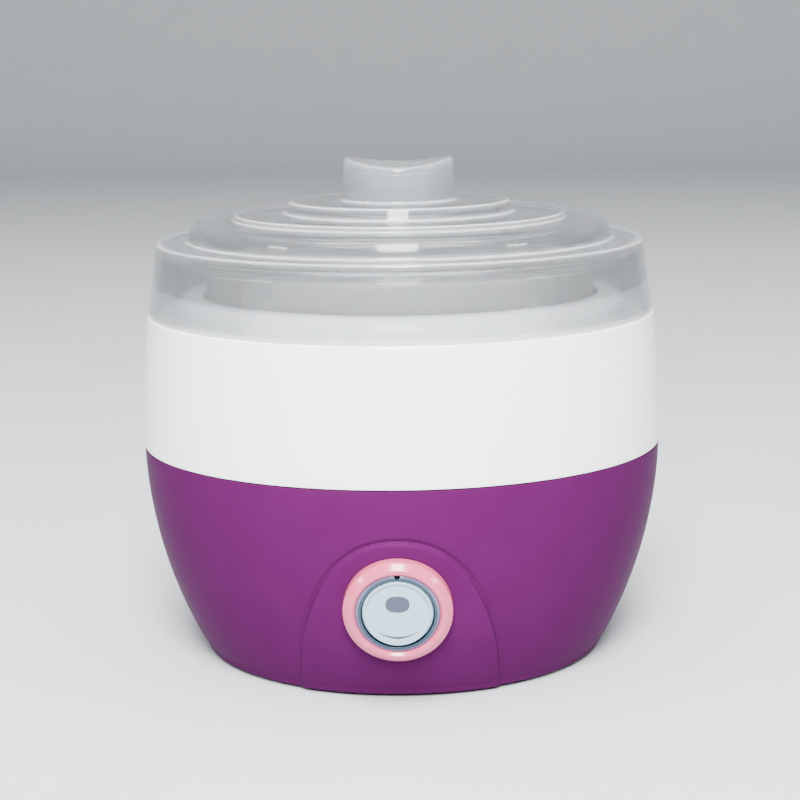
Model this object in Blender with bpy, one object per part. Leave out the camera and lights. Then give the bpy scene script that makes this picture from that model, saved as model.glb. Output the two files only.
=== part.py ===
"""A household yogurt maker: barrel housing, heated well, steel pot, two lids and a push-button control.

Every length is in metres. +Z is up, the feet stand on z = 0, the body's axis is the Z axis,
and the control faces -Y.
"""

import math

import bmesh
import bpy
from mathutils import Matrix, Vector

# Clearances
PART_GAP = 0.0003  # between two pieces that touch
SCREW_CLEARANCE = 0.0003  # between a screw's shank and its hole, all round
POT_CLEARANCE = 0.0040  # between the pot and the well, all round
MOUTH_CLEARANCE = 0.0010  # between the inner lid and the mouth of the neck

# Barrel: three arcs that meet tangent to each other
BODY_RADIUS = 0.0826
WIDEST_Z = 0.0713
UPPER_ARC = 0.3460
LOWER_ARC = 0.13985
CORNER_ARC = 0.04435
CORNER_LEAN = math.radians(26.6)  # how far the wall leans where the lowest arc begins
WALL = 0.0024

# Base shell
FOOT_STANDOUT = 0.0008
BASE_FLOOR = 0.0026
BASE_EDGE = 0.0020
PARTING_Z = 0.0673
TONGUE_HEIGHT = 0.0035

# Upper housing
SHOULDER_Z = 0.1090
SHOULDER_EDGE = 0.0008
NECK_HEIGHT = 0.0065
NECK_WIDTH = 0.0090
NECK_ROUND = 0.0048
MOUTH_DEPTH = 0.0085
MOUTH_EDGE = 0.0010  # chamfer round the mouth
WELL_WALL = 0.0022
WELL_FLOOR = 0.0022
WELL_FLOOR_Z = 0.0227

# Steel pot
POT_RADIUS = 0.0575
POT_TAPER = 0.0010
POT_SHEET = 0.0007
POT_CORNER = 0.0080
POT_RIM = 0.0020  # how far the rolled rim stands out from the wall
POT_STANDOUT = 0.0081  # how far the pot stands above the neck

# Inner lid, a snap-on cap with a sunk centre
INNER_LID_WALL = 0.0016
INNER_LID_FIT = 0.0005
INNER_LID_SKIRT = 0.0135
INNER_LID_ROUND = 0.0024
DISH_DEPTH = 0.0070
GRIP_LENGTH = 0.0420
GRIP_WIDTH = 0.0050
GRIP_HEIGHT = 0.0058

# Outer lid
LID_WALL = 0.0022
LID_SKIRT = 0.0226
LID_DRAFT = 0.0033
LID_EDGE = 0.0010
LID_INNER_FILLET = 0.0048
LOW_STEP_RADIUS = 0.0672
LOW_STEP_DRAFT = 0.0014
LOW_STEP_ROUND = 0.0042
LOW_STEP_HEIGHT = 0.0065
MID_STEP_RADIUS = 0.0524
MID_STEP_HEIGHT = 0.0018
TOP_STEP_RADIUS = 0.0362
TOP_STEP_DRAFT = 0.0013
TOP_STEP_HEIGHT = 0.0038
KNOB_RADIUS = 0.01815
KNOB_DRAFT = 0.0008
KNOB_HEIGHT = 0.0135
KNOB_ROUND = 0.0013
SADDLE_DEPTH = 0.0023

# Heater group
PLATE_MARGIN = 0.0095  # how much smaller than the pot the plate is, all round
PLATE_THICKNESS = 0.0020
PLATE_SEAT = 0.0080
SEAL_THICKNESS = 0.0010
PTC_SIZE = (0.0260, 0.0160, 0.0045)
CLAMP_WIDTH = 0.0120
CLAMP_SHEET = 0.0012
CLAMP_FOOT = 0.0080
FUSE_RADIUS = 0.0021
FUSE_LENGTH = 0.0140
FUSE_OFFSET = 0.0185  # from the axis to the fuse
CLIP_WIDTH = 0.0070
CLIP_SHEET = 0.0008
CLIP_FOOT = 0.0060

# Control panel, all on one axis through the front wall
PANEL_Z = 0.0314
PANEL_TILT = math.radians(11.5)  # how far the panel faces down
PAD_PROUD = 0.0007
PAD_BULGE = 0.0016  # extra height of the pad where the control sits
PAD_BULGE_Z = 0.0220
PAD_BULGE_SPREAD = 0.0160
PAD_TOP_Z = 0.0523
PAD_HALF_WIDTH = 0.0295
PAD_POWER = 2.3  # of the superellipse that outlines the arch
BUTTON_RADIUS = 0.0104
BUTTON_FRONT = 0.0044
BUTTON_DOME = 0.0003
BUTTON_DOME_POINT = (0.6, 0.7)  # a point on the dome, as shares of the radius and of the dome's height
BUTTON_FLANGE = 0.0015
BUTTON_SHELL = 0.0016
BUTTON_STEM_RADIUS = 0.0025
BUTTON_FLANGE_THICKNESS = 0.0010
BUTTON_TRAVEL = 0.0012
STEM_REACH = 0.0010  # how far the stem stands out behind the flange
RING_WIDTH = 0.0016
RING_FRONT = 0.0032
RING_BACK = 0.0036
RING_NOTCH = 0.0011
BEZEL_WIDTH = 0.0036
BEZEL_PROUD = 0.0040
BEZEL_RIM = 0.0012
BEZEL_SHOULDER = (0.0009, 0.0016)  # in from the rim and up from it, to the rounded face's middle point
BEZEL_LIP = (0.0009, 0.0007)  # across and down the slope into the bore
BEZEL_SEAT = 0.0017
BEZEL_BOSS_DEPTH = 0.0062
BEZEL_SLEEVE = 0.0008
BEZEL_SLEEVE_DEPTH = 0.0050

# Indicator board behind the panel
SWITCH_SIZE = 0.0065
SWITCH_HEIGHT = 0.0031
PLUNGER_RADIUS = 0.0016
PLUNGER_LENGTH = 0.0021
PRESS_RESERVE = 0.0002  # left between the stem and the switch at full press
BOARD_WIDTH = 0.0410
BOARD_HEIGHT = 0.0200
BOARD_THICKNESS = 0.0010
LED_RADIUS = 0.0015
LED_HEIGHT = 0.0034
LED_COLLAR = 0.0003
LED_RISE = 0.0080  # from the panel axis up to the LED
RESISTOR_RADIUS = 0.0009
RESISTOR_LENGTH = 0.0050
RESISTOR_PLACE = (0.0105, -0.0060)  # across and up, from the panel axis
BOARD_SCREW_OFFSET = 0.0177
BOARD_BOSS_RADIUS = 0.0026
BOARD_BOSS_ROOT = 0.6  # share of the wall's thickness that a boss reaches into

# Mains side
TERMINAL_SIZE = (0.0240, 0.0120, 0.0085)
TERMINAL_Y = 0.0270
TERMINAL_BORE = 0.0017
TERMINAL_POLE = 0.0060  # from the block's middle to each wire entry
GLAND_Z = 0.0140
GLAND_BORE = 0.0034
GLAND_NECK = 0.0050
GLAND_FLANGE = 0.0076
GLAND_FLANGE_THICKNESS = 0.0023
GLAND_CHAMFER = 0.0010
GLAND_BOSS_RADIUS = 0.0100
GLAND_BOSS_DEPTH = 0.0070
GLAND_LIP = 0.0010
GLAND_SEAT_STANDOUT = 0.0010  # how far the gland's flat seat lies outside the barrel
WIRE_RADIUS = 0.0009
WIRE_LEAD = 0.0024  # how far a wire runs before it bends
WIRE_BEND = 0.0010  # how far it strays at a slight bend
WIRE_LOOP = ((0.72, 0.25), (0.72, -0.35), (0.49, -0.85))  # past the heater, in screw circle radii

# Feet and screws
FOOT_RADIUS = 0.0060
FOOT_HEIGHT = 0.0019
FOOT_EDGE = 0.0005
FOOT_INSET = 0.0110  # from the rim of the flat bottom to a foot's centre
HOUSING_SCREW_INSET = 0.0100  # from the well's wall to a housing screw
BOSS_RADIUS = 0.0042
BOSS_SPLIT_Z = 0.0091  # where the base's bosses meet the housing's
HOUSING_SCREW = {"shank": 0.0013, "length": 0.0092, "head": 0.0030, "head_height": 0.0021}
PLATE_SCREW = {"shank": 0.0013, "length": 0.0052, "head": 0.0026, "head_height": 0.0016}
SMALL_SCREW = {"shank": 0.0009, "length": 0.0023, "head": 0.0018, "head_height": 0.0012}
BOARD_SCREW = {"shank": 0.0009, "length": 0.0045, "head": 0.0018, "head_height": 0.0012}
HEAD_DRIVE_DEPTH = 0.0008  # depth of the cross in a screw's head
HEAD_DRIVE = (1.1, 0.28)  # length and width of each arm of the cross, in head radii
HEAD_CROWN = (0.7, 0.55)  # the head's flat top and its straight side, as shares of radius and height

# Facets
ROUND_STEPS = 48
SMALL_ROUND_STEPS = 24
SCREW_STEPS = 12
WELD = 2e-6  # points closer than this are one point

# Sizes that follow from the ones above
BASE_BOTTOM_Z = FOOT_STANDOUT
BASE_FLOOR_Z = BASE_BOTTOM_Z + BASE_FLOOR
WELL_RADIUS = POT_RADIUS + POT_CLEARANCE
NECK_TOP_Z = SHOULDER_Z + NECK_HEIGHT
POT_RIM_Z = NECK_TOP_Z + POT_STANDOUT
WELL_UNDERSIDE_Z = WELL_FLOOR_Z - WELL_FLOOR
PLATE_RADIUS = POT_RADIUS - PLATE_MARGIN
PLATE_OPENING = PLATE_RADIUS - PLATE_SEAT
SEAL_Z = WELL_FLOOR_Z + PART_GAP
PLATE_Z = SEAL_Z + SEAL_THICKNESS + PART_GAP
PLATE_TOP_Z = PLATE_Z + PLATE_THICKNESS
POT_BOTTOM_Z = PLATE_TOP_Z + PART_GAP
INNER_LID_BORE = POT_RADIUS + POT_RIM + INNER_LID_FIT
INNER_LID_RADIUS = INNER_LID_BORE + INNER_LID_WALL
INNER_LID_TOP_Z = POT_RIM_Z + PART_GAP + INNER_LID_WALL
MOUTH_RADIUS = INNER_LID_RADIUS + MOUTH_CLEARANCE
NECK_RADIUS = MOUTH_RADIUS + NECK_WIDTH
LEDGE_Z = NECK_TOP_Z - MOUTH_DEPTH
LID_BOTTOM_Z = SHOULDER_Z + PART_GAP
FLANGE_Z = LID_BOTTOM_Z + LID_SKIRT
LOW_STEP_Z = FLANGE_Z + LOW_STEP_HEIGHT
MID_STEP_Z = LOW_STEP_Z + MID_STEP_HEIGHT
TOP_STEP_Z = MID_STEP_Z + TOP_STEP_HEIGHT
KNOB_TOP_Z = TOP_STEP_Z + KNOB_HEIGHT
RING_BORE = BUTTON_RADIUS + PART_GAP
RING_RADIUS = RING_BORE + RING_WIDTH
BEZEL_BORE = RING_RADIUS + PART_GAP
BEZEL_RADIUS = BEZEL_BORE + BEZEL_WIDTH
BUTTON_BACK = -RING_BACK - PART_GAP
BUTTON_FLANGE_BACK = BUTTON_BACK - BUTTON_FLANGE_THICKNESS
STEM_END = BUTTON_FLANGE_BACK - STEM_REACH
PLUNGER_TIP = STEM_END - PART_GAP
SWITCH_FRONT = STEM_END - BUTTON_TRAVEL - PRESS_RESERVE
BOARD_FRONT = SWITCH_FRONT - SWITCH_HEIGHT - PART_GAP
BOARD_BACK = BOARD_FRONT - BOARD_THICKNESS
HOUSING_SCREW_CIRCLE = WELL_RADIUS - HOUSING_SCREW_INSET
PLATE_SCREW_CIRCLE = PLATE_RADIUS - PLATE_SEAT / 2


def clear_scene():
    for item in list(bpy.data.objects):
        bpy.data.objects.remove(item, do_unlink=True)


def make_material(name, colour, roughness, metallic=0.0, alpha=1.0):
    """A Principled BSDF with a linear base colour."""
    finish = bpy.data.materials.new(name)
    finish.use_nodes = True
    shader = finish.node_tree.nodes["Principled BSDF"]
    shader.inputs["Base Color"].default_value = (*colour, 1.0)
    shader.inputs["Roughness"].default_value = roughness
    shader.inputs["Metallic"].default_value = metallic
    shader.inputs["Alpha"].default_value = alpha
    finish.diffuse_color = (*colour, alpha)
    return finish


def materials():
    return {
        "clear_lid": make_material("clear polystyrene", (0.86, 0.88, 0.90), 0.05, alpha=0.3),
        "inner_lid": make_material("translucent polypropylene", (0.72, 0.72, 0.70), 0.35),
        "housing": make_material("white polypropylene", (0.86, 0.86, 0.84), 0.25),
        "base": make_material("purple polypropylene", (0.22, 0.045, 0.19), 0.35),
        "steel": make_material("stainless steel", (0.60, 0.59, 0.57), 0.22, metallic=1.0),
        "aluminium": make_material("aluminium sheet", (0.75, 0.76, 0.77), 0.35, metallic=1.0),
        "zinc": make_material("zinc-plated steel", (0.60, 0.60, 0.58), 0.35, metallic=1.0),
        "silicone": make_material("white silicone", (0.75, 0.73, 0.70), 0.55),
        "rubber": make_material("black rubber", (0.02, 0.02, 0.02), 0.7),
        "ceramic": make_material("heater ceramic", (0.55, 0.50, 0.42), 0.6),
        "sleeve": make_material("glass-fibre sleeve", (0.80, 0.78, 0.70), 0.8),
        "board": make_material("green circuit board", (0.02, 0.16, 0.06), 0.4),
        "black": make_material("black nylon", (0.02, 0.02, 0.022), 0.4),
        "led": make_material("red LED epoxy", (0.55, 0.02, 0.02), 0.1),
        "terminal": make_material("natural nylon", (0.78, 0.77, 0.72), 0.4),
        "wire": make_material("wire insulation", (0.45, 0.05, 0.04), 0.45),
        "bezel": make_material("pink ABS", (0.82, 0.48, 0.55), 0.25),
        "ring": make_material("blue-grey polycarbonate", (0.10, 0.17, 0.22), 0.15),
        "button": make_material("pale grey ABS", (0.62, 0.66, 0.72), 0.3),
    }


def add_object(name, mesh, finish):
    """Puts a mesh in the scene, smooth except across sharp edges."""
    mesh.shade_smooth()
    mesh.set_sharp_from_angle(angle=math.radians(35))
    if finish is not None:
        mesh.materials.append(finish)
    item = bpy.data.objects.new(name, mesh)
    bpy.context.scene.collection.objects.link(item)
    return item


def mesh_from(bm, name):
    bmesh.ops.remove_doubles(bm, verts=bm.verts, dist=WELD)
    bmesh.ops.recalc_face_normals(bm, faces=bm.faces)
    mesh = bpy.data.meshes.new(name)
    bm.to_mesh(mesh)
    bm.free()
    return mesh


def arc(centre, radius, start, end, steps):
    """Points on an arc in the (r, z) plane. Angles are in degrees, from +r towards +z."""
    turns = [math.radians(start + (end - start) * i / steps) for i in range(steps + 1)]
    return [(centre[0] + radius * math.cos(a), centre[1] + radius * math.sin(a)) for a in turns]


def turned(name, outline, finish, steps=ROUND_STEPS, place=None):
    """Turns an outline of (r, z) points round Z. It is a closed loop, or starts and ends on the axis."""
    on_axis = outline[0][0] == 0 and outline[-1][0] == 0
    bm = bmesh.new()
    points = [bm.verts.new((r, 0, z)) for r, z in outline]
    pairs = list(zip(points, points[1:]))
    if not on_axis:
        pairs.append((points[-1], points[0]))
    edges = [bm.edges.new(pair) for pair in pairs]
    bmesh.ops.spin(
        bm, geom=points + edges, cent=(0, 0, 0), axis=(0, 0, 1), angle=math.tau, steps=steps
    )
    item = add_object(name, mesh_from(bm, name), finish)
    if place is not None:
        item.matrix_world = place
    return item


def prism(name, outline, depth, finish, place=None):
    """Extrudes a closed outline of (x, y) points by a depth along +Z, then places it."""
    bm = bmesh.new()
    face = bm.faces.new([bm.verts.new((x, y, 0)) for x, y in outline])
    swept = bmesh.ops.extrude_face_region(bm, geom=[face])
    risen = [part for part in swept["geom"] if isinstance(part, bmesh.types.BMVert)]
    bmesh.ops.translate(bm, verts=risen, vec=(0, 0, depth))
    item = add_object(name, mesh_from(bm, name), finish)
    if place is not None:
        item.matrix_world = place
    return item


def rectangle(width, height):
    return [
        (-width / 2, -height / 2),
        (width / 2, -height / 2),
        (width / 2, height / 2),
        (-width / 2, height / 2),
    ]


def rods(name, placed, finish=None, steps=SMALL_ROUND_STEPS):
    """Cylinders as one mesh. Each is (matrix, radius, low z, high z)."""
    bm = bmesh.new()
    for place, radius, low, high in placed:
        middle = place @ Matrix.Translation((0, 0, (low + high) / 2))
        bmesh.ops.create_cone(
            bm,
            cap_ends=True,
            segments=steps,
            radius1=radius,
            radius2=radius,
            depth=high - low,
            matrix=middle,
        )
    return add_object(name, mesh_from(bm, name), finish)


def combine(target, operation, tool, crossing=False):
    """Joins a helper to a piece, cuts it away, or keeps what they share.

    The helper itself isn't part of the object. Crossing says that its own pieces cross each other.
    """
    modifier = target.modifiers.new(f"{operation.lower()} {tool.name}", "BOOLEAN")
    modifier.operation = operation
    modifier.solver = "EXACT"
    modifier.object = tool
    modifier.use_self = crossing
    tool.hide_render = True
    tool.display_type = "WIRE"


def tube(name, points, radius, finish):
    """A round wire along a smooth curve through the points."""
    curve = bpy.data.curves.new(name, "CURVE")
    curve.dimensions = "3D"
    curve.bevel_depth = radius
    curve.bevel_resolution = 1
    curve.use_fill_caps = True
    smooth = smooth_path([Vector(point) for point in points])
    spline = curve.splines.new("POLY")
    spline.points.add(len(smooth) - 1)
    for target, point in zip(spline.points, smooth):
        target.co = (*point, 1.0)
    pipe = bpy.data.objects.new(name, curve)
    bm = bmesh.new()
    bm.from_mesh(bpy.data.meshes.new_from_object(pipe))
    bpy.data.objects.remove(pipe, do_unlink=True)
    return add_object(name, mesh_from(bm, name), finish)


def smooth_path(points, steps=3):
    """Catmull-Rom: through every point, with tangents along the chord of its neighbours."""
    ends = [points[0] * 2 - points[1], *points, points[-1] * 2 - points[-2]]
    path = []
    for before, start, end, after in zip(ends, ends[1:], ends[2:], ends[3:]):
        for step in range(steps):
            t = step / steps
            path.append(
                0.5
                * (
                    2 * start
                    + (end - before) * t
                    + (2 * before - 5 * start + 4 * end - after) * t**2
                    + (3 * start - before - 3 * end + after) * t**3
                )
            )
    return [*path, points[-1]]


def ring_places(radius, count, first_angle):
    """Points evenly round a circle. Angles are in degrees from +X."""
    angles = [math.radians(first_angle + 360 * i / count) for i in range(count)]
    return [(radius * math.cos(a), radius * math.sin(a)) for a in angles]


def barrel_radius(z, inset=0.0):
    """Radius of the barrel at a height, measured on the surface that lies the inset inside it."""
    if z >= WIDEST_Z:
        centre, middle_z, radius = BODY_RADIUS - UPPER_ARC, WIDEST_Z, UPPER_ARC
    elif z >= WIDEST_Z - (LOWER_ARC - inset) * math.sin(CORNER_LEAN):
        centre, middle_z, radius = BODY_RADIUS - LOWER_ARC, WIDEST_Z, LOWER_ARC
    else:
        reach = LOWER_ARC - CORNER_ARC
        centre = BODY_RADIUS - LOWER_ARC + reach * math.cos(CORNER_LEAN)
        middle_z = WIDEST_Z - reach * math.sin(CORNER_LEAN)
        radius = CORNER_ARC
    return centre + math.sqrt((radius - inset) ** 2 - (z - middle_z) ** 2)


def barrel_side(low, high, inset, steps):
    """Points up the barrel, evenly spaced in height."""
    heights = [low + (high - low) * i / steps for i in range(steps + 1)]
    return [(barrel_radius(z, inset), z) for z in heights]


def pad_radius(z):
    """Radius of the pad's face, which swells out round the control."""
    swell = PAD_BULGE * math.exp(-(((z - PAD_BULGE_Z) / PAD_BULGE_SPREAD) ** 2))
    return barrel_radius(z) + PAD_PROUD + swell


def panel_frame():
    """Origin on the pad's face, +X across, +Y up the panel, +Z straight out of it."""
    at = Matrix.Translation((0, -pad_radius(PANEL_Z), PANEL_Z))
    return at @ Matrix.Rotation(math.pi / 2 + PANEL_TILT, 4, "X")


def flat_bottom_radius():
    """Where the base's flat underside ends and its rounded edge begins."""
    return barrel_radius(BASE_BOTTOM_Z + BASE_EDGE) - BASE_EDGE


def gland_face():
    """How far behind the axis the flat seat of the cord gland lies."""
    return barrel_radius(GLAND_Z) + GLAND_SEAT_STANDOUT


def gland_frame():
    """Origin on the gland's seat, +Z straight out of the back."""
    return Matrix.Translation((0, gland_face(), GLAND_Z)) @ Matrix.Rotation(-math.pi / 2, 4, "X")


def board_boss_start():
    """Depth behind the panel's origin at which a board boss is well inside the curved wall."""
    face = pad_radius(PANEL_Z)
    sagitta = face - math.sqrt(face**2 - BOARD_SCREW_OFFSET**2)
    return sagitta + (face - barrel_radius(PANEL_Z, WALL)) * BOARD_BOSS_ROOT


def board_screw_places():
    frame = panel_frame()
    return [frame @ Matrix.Translation((side * BOARD_SCREW_OFFSET, 0, 0)) for side in (-1, 1)]


def superellipse_power(value):
    return math.copysign(abs(value) ** (2 / PAD_POWER), value)


def front_pad(base):
    """The raised arch round the control: an outer layer of the barrel, cut to an arched outline."""
    low = BASE_BOTTOM_Z + BASE_FLOOR / 2
    top = PARTING_Z - PART_GAP
    count = 12
    heights = [low + (top - low) * i / count for i in range(count + 1)]
    outer = [(pad_radius(z), z) for z in heights]
    inner = barrel_side(low, top, WALL / 2, 6)
    layer = turned("pad_layer", outer + inner[::-1], None)
    steps = 24
    turns = [math.pi * i / steps for i in range(steps + 1)]
    arch = [
        (
            PAD_HALF_WIDTH * superellipse_power(math.cos(turn)),
            PAD_TOP_Z * superellipse_power(math.sin(turn)),
        )
        for turn in turns
    ]
    upright = Matrix.Rotation(math.pi / 2, 4, "X") @ Matrix.Translation((0, 0, BODY_RADIUS / 3))
    combine(layer, "INTERSECT", prism("pad_arch", arch, BODY_RADIUS, None, upright))
    combine(base, "UNION", layer)


def base_shell(finish):
    """The lower shell: a barrel with a flat bottom and a tongue at its rim."""
    edge_centre = (flat_bottom_radius(), BASE_BOTTOM_Z + BASE_EDGE)
    tongue_radius = WALL / 2 + PART_GAP / 2
    outline = [(0, BASE_BOTTOM_Z)]
    outline += arc(edge_centre, BASE_EDGE, -90, -math.degrees(CORNER_LEAN) - 15, 2)
    outline += barrel_side(BASE_BOTTOM_Z + BASE_EDGE, PARTING_Z, 0, 9)
    outline.append((barrel_radius(PARTING_Z, tongue_radius), PARTING_Z))
    tongue_top = PARTING_Z + TONGUE_HEIGHT
    outline.append((barrel_radius(tongue_top, tongue_radius), tongue_top))
    outline += barrel_side(BASE_FLOOR_Z, tongue_top, WALL, 6)[::-1]
    outline.append((0, BASE_FLOOR_Z))
    shell = turned("base_shell", outline, finish)

    front_pad(shell)
    frame = panel_frame()
    upright = [(Matrix.Translation((x, y, 0)), BOSS_RADIUS) for x, y in housing_screw_places()]
    root_z = BASE_BOTTOM_Z + BASE_FLOOR / 2
    solid = [(place, radius, root_z, BOSS_SPLIT_Z) for place, radius in upright]
    combine(shell, "UNION", rods("base_bosses", solid))
    ledge = [(frame, BEZEL_RADIUS - PART_GAP, -BEZEL_BOSS_DEPTH, -BEZEL_SEAT / 2)]
    combine(shell, "UNION", rods("bezel_boss", ledge, steps=ROUND_STEPS))
    boss_end = BOARD_FRONT + PART_GAP
    board = [(p, BOARD_BOSS_RADIUS, boss_end, -board_boss_start()) for p in board_screw_places()]
    combine(shell, "UNION", rods("board_bosses", board, steps=SCREW_STEPS))
    gland_boss = [(gland_frame(), GLAND_BOSS_RADIUS, -GLAND_BOSS_DEPTH, 0)]
    combine(shell, "UNION", rods("gland_boss", gland_boss))

    seat = [
        (frame, BEZEL_RADIUS + PART_GAP, -BEZEL_SEAT, BEZEL_SEAT * 4),
        (gland_frame(), GLAND_FLANGE + PART_GAP, 0, BODY_RADIUS / 4),
    ]
    combine(shell, "DIFFERENCE", rods("seats", seat, steps=ROUND_STEPS))
    through = [
        (frame, BEZEL_BORE + BEZEL_SLEEVE + PART_GAP, -BEZEL_SEAT * 6, BEZEL_SEAT),
        (gland_frame(), GLAND_NECK + PART_GAP, -GLAND_BOSS_DEPTH * 2, GLAND_BOSS_DEPTH),
    ]
    combine(shell, "DIFFERENCE", rods("wall_holes", through, steps=ROUND_STEPS))
    combine(shell, "DIFFERENCE", rods("floor_recesses", floor_recesses()))
    combine(shell, "DIFFERENCE", rods("screw_holes", screw_holes(), steps=SCREW_STEPS))
    pilot = BOARD_SCREW["shank"] + SCREW_CLEARANCE
    depth = BOARD_BACK + BOARD_SCREW["length"]
    board_holes = [(p, pilot, BOARD_BACK, depth) for p in board_screw_places()]
    combine(shell, "DIFFERENCE", rods("board_pilots", board_holes, steps=SCREW_STEPS))
    return shell


def housing_screw_places():
    return ring_places(HOUSING_SCREW_CIRCLE, 4, 0)


def foot_places():
    return ring_places(flat_bottom_radius() - FOOT_INSET, 4, 45)


def housing_screw_head_z():
    """Where the underside of a housing screw's head bears, inside the base's boss."""
    return BASE_FLOOR_Z + WALL / 2


def floor_recesses():
    """Counterbores for the housing screws' heads and seats for the feet, all open downwards."""
    head = HOUSING_SCREW["head"] + SCREW_CLEARANCE
    screw_seats = [(x, y, head, housing_screw_head_z()) for x, y in housing_screw_places()]
    foot = FOOT_RADIUS + PART_GAP
    foot_seats = [(x, y, foot, FOOT_HEIGHT + PART_GAP) for x, y in foot_places()]
    return [
        (Matrix.Translation((x, y, 0)), radius, -PART_GAP, high)
        for x, y, radius, high in screw_seats + foot_seats
    ]


def screw_holes():
    """Clearance holes for the housing screws, right through the base's bosses."""
    radius = HOUSING_SCREW["shank"] + SCREW_CLEARANCE
    return [
        (Matrix.Translation((x, y, 0)), radius, -PART_GAP, BOSS_SPLIT_Z + PART_GAP)
        for x, y in housing_screw_places()
    ]


def upper_housing(finish):
    """The white shell: outer wall, shoulder, neck and the well in one moulding, open below."""
    low = PARTING_Z + PART_GAP
    rebate_z = PARTING_Z + TONGUE_HEIGHT + PART_GAP
    rebate = WALL / 2 - PART_GAP / 2
    shoulder_radius = barrel_radius(SHOULDER_Z)
    underside = SHOULDER_Z - WALL
    outline = barrel_side(low, WIDEST_Z, 0, 1)
    outline += barrel_side(WIDEST_Z, SHOULDER_Z - SHOULDER_EDGE, 0, 5)[1:]
    outline += [(shoulder_radius - SHOULDER_EDGE, SHOULDER_Z), (NECK_RADIUS, SHOULDER_Z)]
    outline += arc((NECK_RADIUS - NECK_ROUND, NECK_TOP_Z - NECK_ROUND), NECK_ROUND, 0, 90, 4)
    outline += arc((MOUTH_RADIUS + MOUTH_EDGE, NECK_TOP_Z - MOUTH_EDGE), MOUTH_EDGE, 90, 180, 1)
    outline += [
        (MOUTH_RADIUS, LEDGE_Z),
        (WELL_RADIUS, LEDGE_Z - (MOUTH_RADIUS - WELL_RADIUS)),
        (WELL_RADIUS, WELL_FLOOR_Z),
        (PLATE_OPENING, WELL_FLOOR_Z),
        (PLATE_OPENING, WELL_UNDERSIDE_Z),
        (WELL_RADIUS + WELL_WALL, WELL_UNDERSIDE_Z),
        (WELL_RADIUS + WELL_WALL, LEDGE_Z - (MOUTH_RADIUS - WELL_RADIUS) - WELL_WALL),
        (MOUTH_RADIUS + WELL_WALL, LEDGE_Z - WELL_WALL),
        (MOUTH_RADIUS + WELL_WALL, NECK_TOP_Z - WALL),
        (NECK_RADIUS - NECK_ROUND, NECK_TOP_Z - WALL),
        (NECK_RADIUS - WALL, NECK_TOP_Z - NECK_ROUND),
        (NECK_RADIUS - WALL, underside),
    ]
    outline += barrel_side(rebate_z, underside, WALL, 4)[::-1]
    outline += [(barrel_radius(rebate_z, rebate), rebate_z), (barrel_radius(low, rebate), low)]
    housing = turned("upper_housing", outline, finish)

    places = [Matrix.Translation((x, y, 0)) for x, y in housing_screw_places()]
    root_z = WELL_UNDERSIDE_Z + WELL_FLOOR / 2
    bosses = [(p, BOSS_RADIUS, BOSS_SPLIT_Z + PART_GAP, root_z) for p in places]
    combine(housing, "UNION", rods("housing_bosses", bosses))
    end = housing_screw_head_z() - PART_GAP + HOUSING_SCREW["length"] + PART_GAP
    pilots = [(p, HOUSING_SCREW["shank"] + SCREW_CLEARANCE, BOSS_SPLIT_Z, end) for p in places]
    plate = [Matrix.Translation((x, y, 0)) for x, y in plate_screw_places()]
    pilots += [
        (p, PLATE_SCREW["shank"] + SCREW_CLEARANCE, WELL_UNDERSIDE_Z - WELL_FLOOR, SEAL_Z) for p in plate
    ]
    combine(housing, "DIFFERENCE", rods("housing_pilots", pilots))
    return housing


def plate_screw_places():
    return ring_places(PLATE_SCREW_CIRCLE, 3, 45)


def inner_pot(finish):
    """A drawn steel pot with a rolled rim."""
    bottom = POT_RADIUS - POT_TAPER
    rim = POT_RIM / 2
    corner = (bottom - POT_CORNER, POT_BOTTOM_Z + POT_CORNER)
    outline = [(0, POT_BOTTOM_Z)]
    outline += arc(corner, POT_CORNER, -90, 0, 4)
    outline.append((POT_RADIUS, POT_RIM_Z - POT_RIM))
    outline += arc((POT_RADIUS + rim, POT_RIM_Z - rim), rim, -90, 90, 4)
    outline.append((POT_RADIUS - POT_SHEET, POT_RIM_Z))
    outline.append((bottom - POT_SHEET, POT_BOTTOM_Z + POT_CORNER))
    outline += arc(corner, POT_CORNER - POT_SHEET, 0, -90, 4)[1:]
    outline.append((0, POT_BOTTOM_Z + POT_SHEET))
    return turned("inner_pot", outline, finish)


def inner_lid(finish):
    """The pot's snap-on lid: a channel over the rim, a sunk centre and a finger bar across it."""
    plug = POT_RADIUS - POT_SHEET - INNER_LID_FIT
    skirt_z = INNER_LID_TOP_Z - INNER_LID_SKIRT
    under_z = INNER_LID_TOP_Z - INNER_LID_WALL
    dish_z = INNER_LID_TOP_Z - DISH_DEPTH
    round_centre = (INNER_LID_RADIUS - INNER_LID_ROUND, INNER_LID_TOP_Z - INNER_LID_ROUND)
    outline = [
        (0, dish_z - INNER_LID_WALL),
        (plug, dish_z - INNER_LID_WALL),
        (plug, under_z),
        (INNER_LID_BORE, under_z),
        (INNER_LID_BORE, skirt_z),
        (INNER_LID_RADIUS, skirt_z),
    ]
    outline += arc(round_centre, INNER_LID_ROUND, 0, 90, 3)
    outline += [
        (plug - INNER_LID_WALL, INNER_LID_TOP_Z),
        (plug - INNER_LID_WALL, dish_z),
        (0, dish_z),
    ]
    lid = turned("inner_lid", outline, finish)
    low = dish_z - INNER_LID_WALL / 2
    place = Matrix.Translation((0, 0, low))
    bar = prism(
        "grip_bar",
        rectangle(GRIP_LENGTH, GRIP_WIDTH),
        GRIP_HEIGHT + INNER_LID_WALL / 2,
        None,
        place,
    )
    combine(lid, "UNION", bar)
    return lid


def lid_step(radius, draft, round_radius, base_z, top_z, steps):
    """One step of the lid's dome, from its top corner down to its foot."""
    top_radius = radius - draft
    corner = (top_radius - round_radius, top_z - round_radius)
    return arc(corner, round_radius, 90, 0, steps) + [(radius, base_z)]


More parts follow.
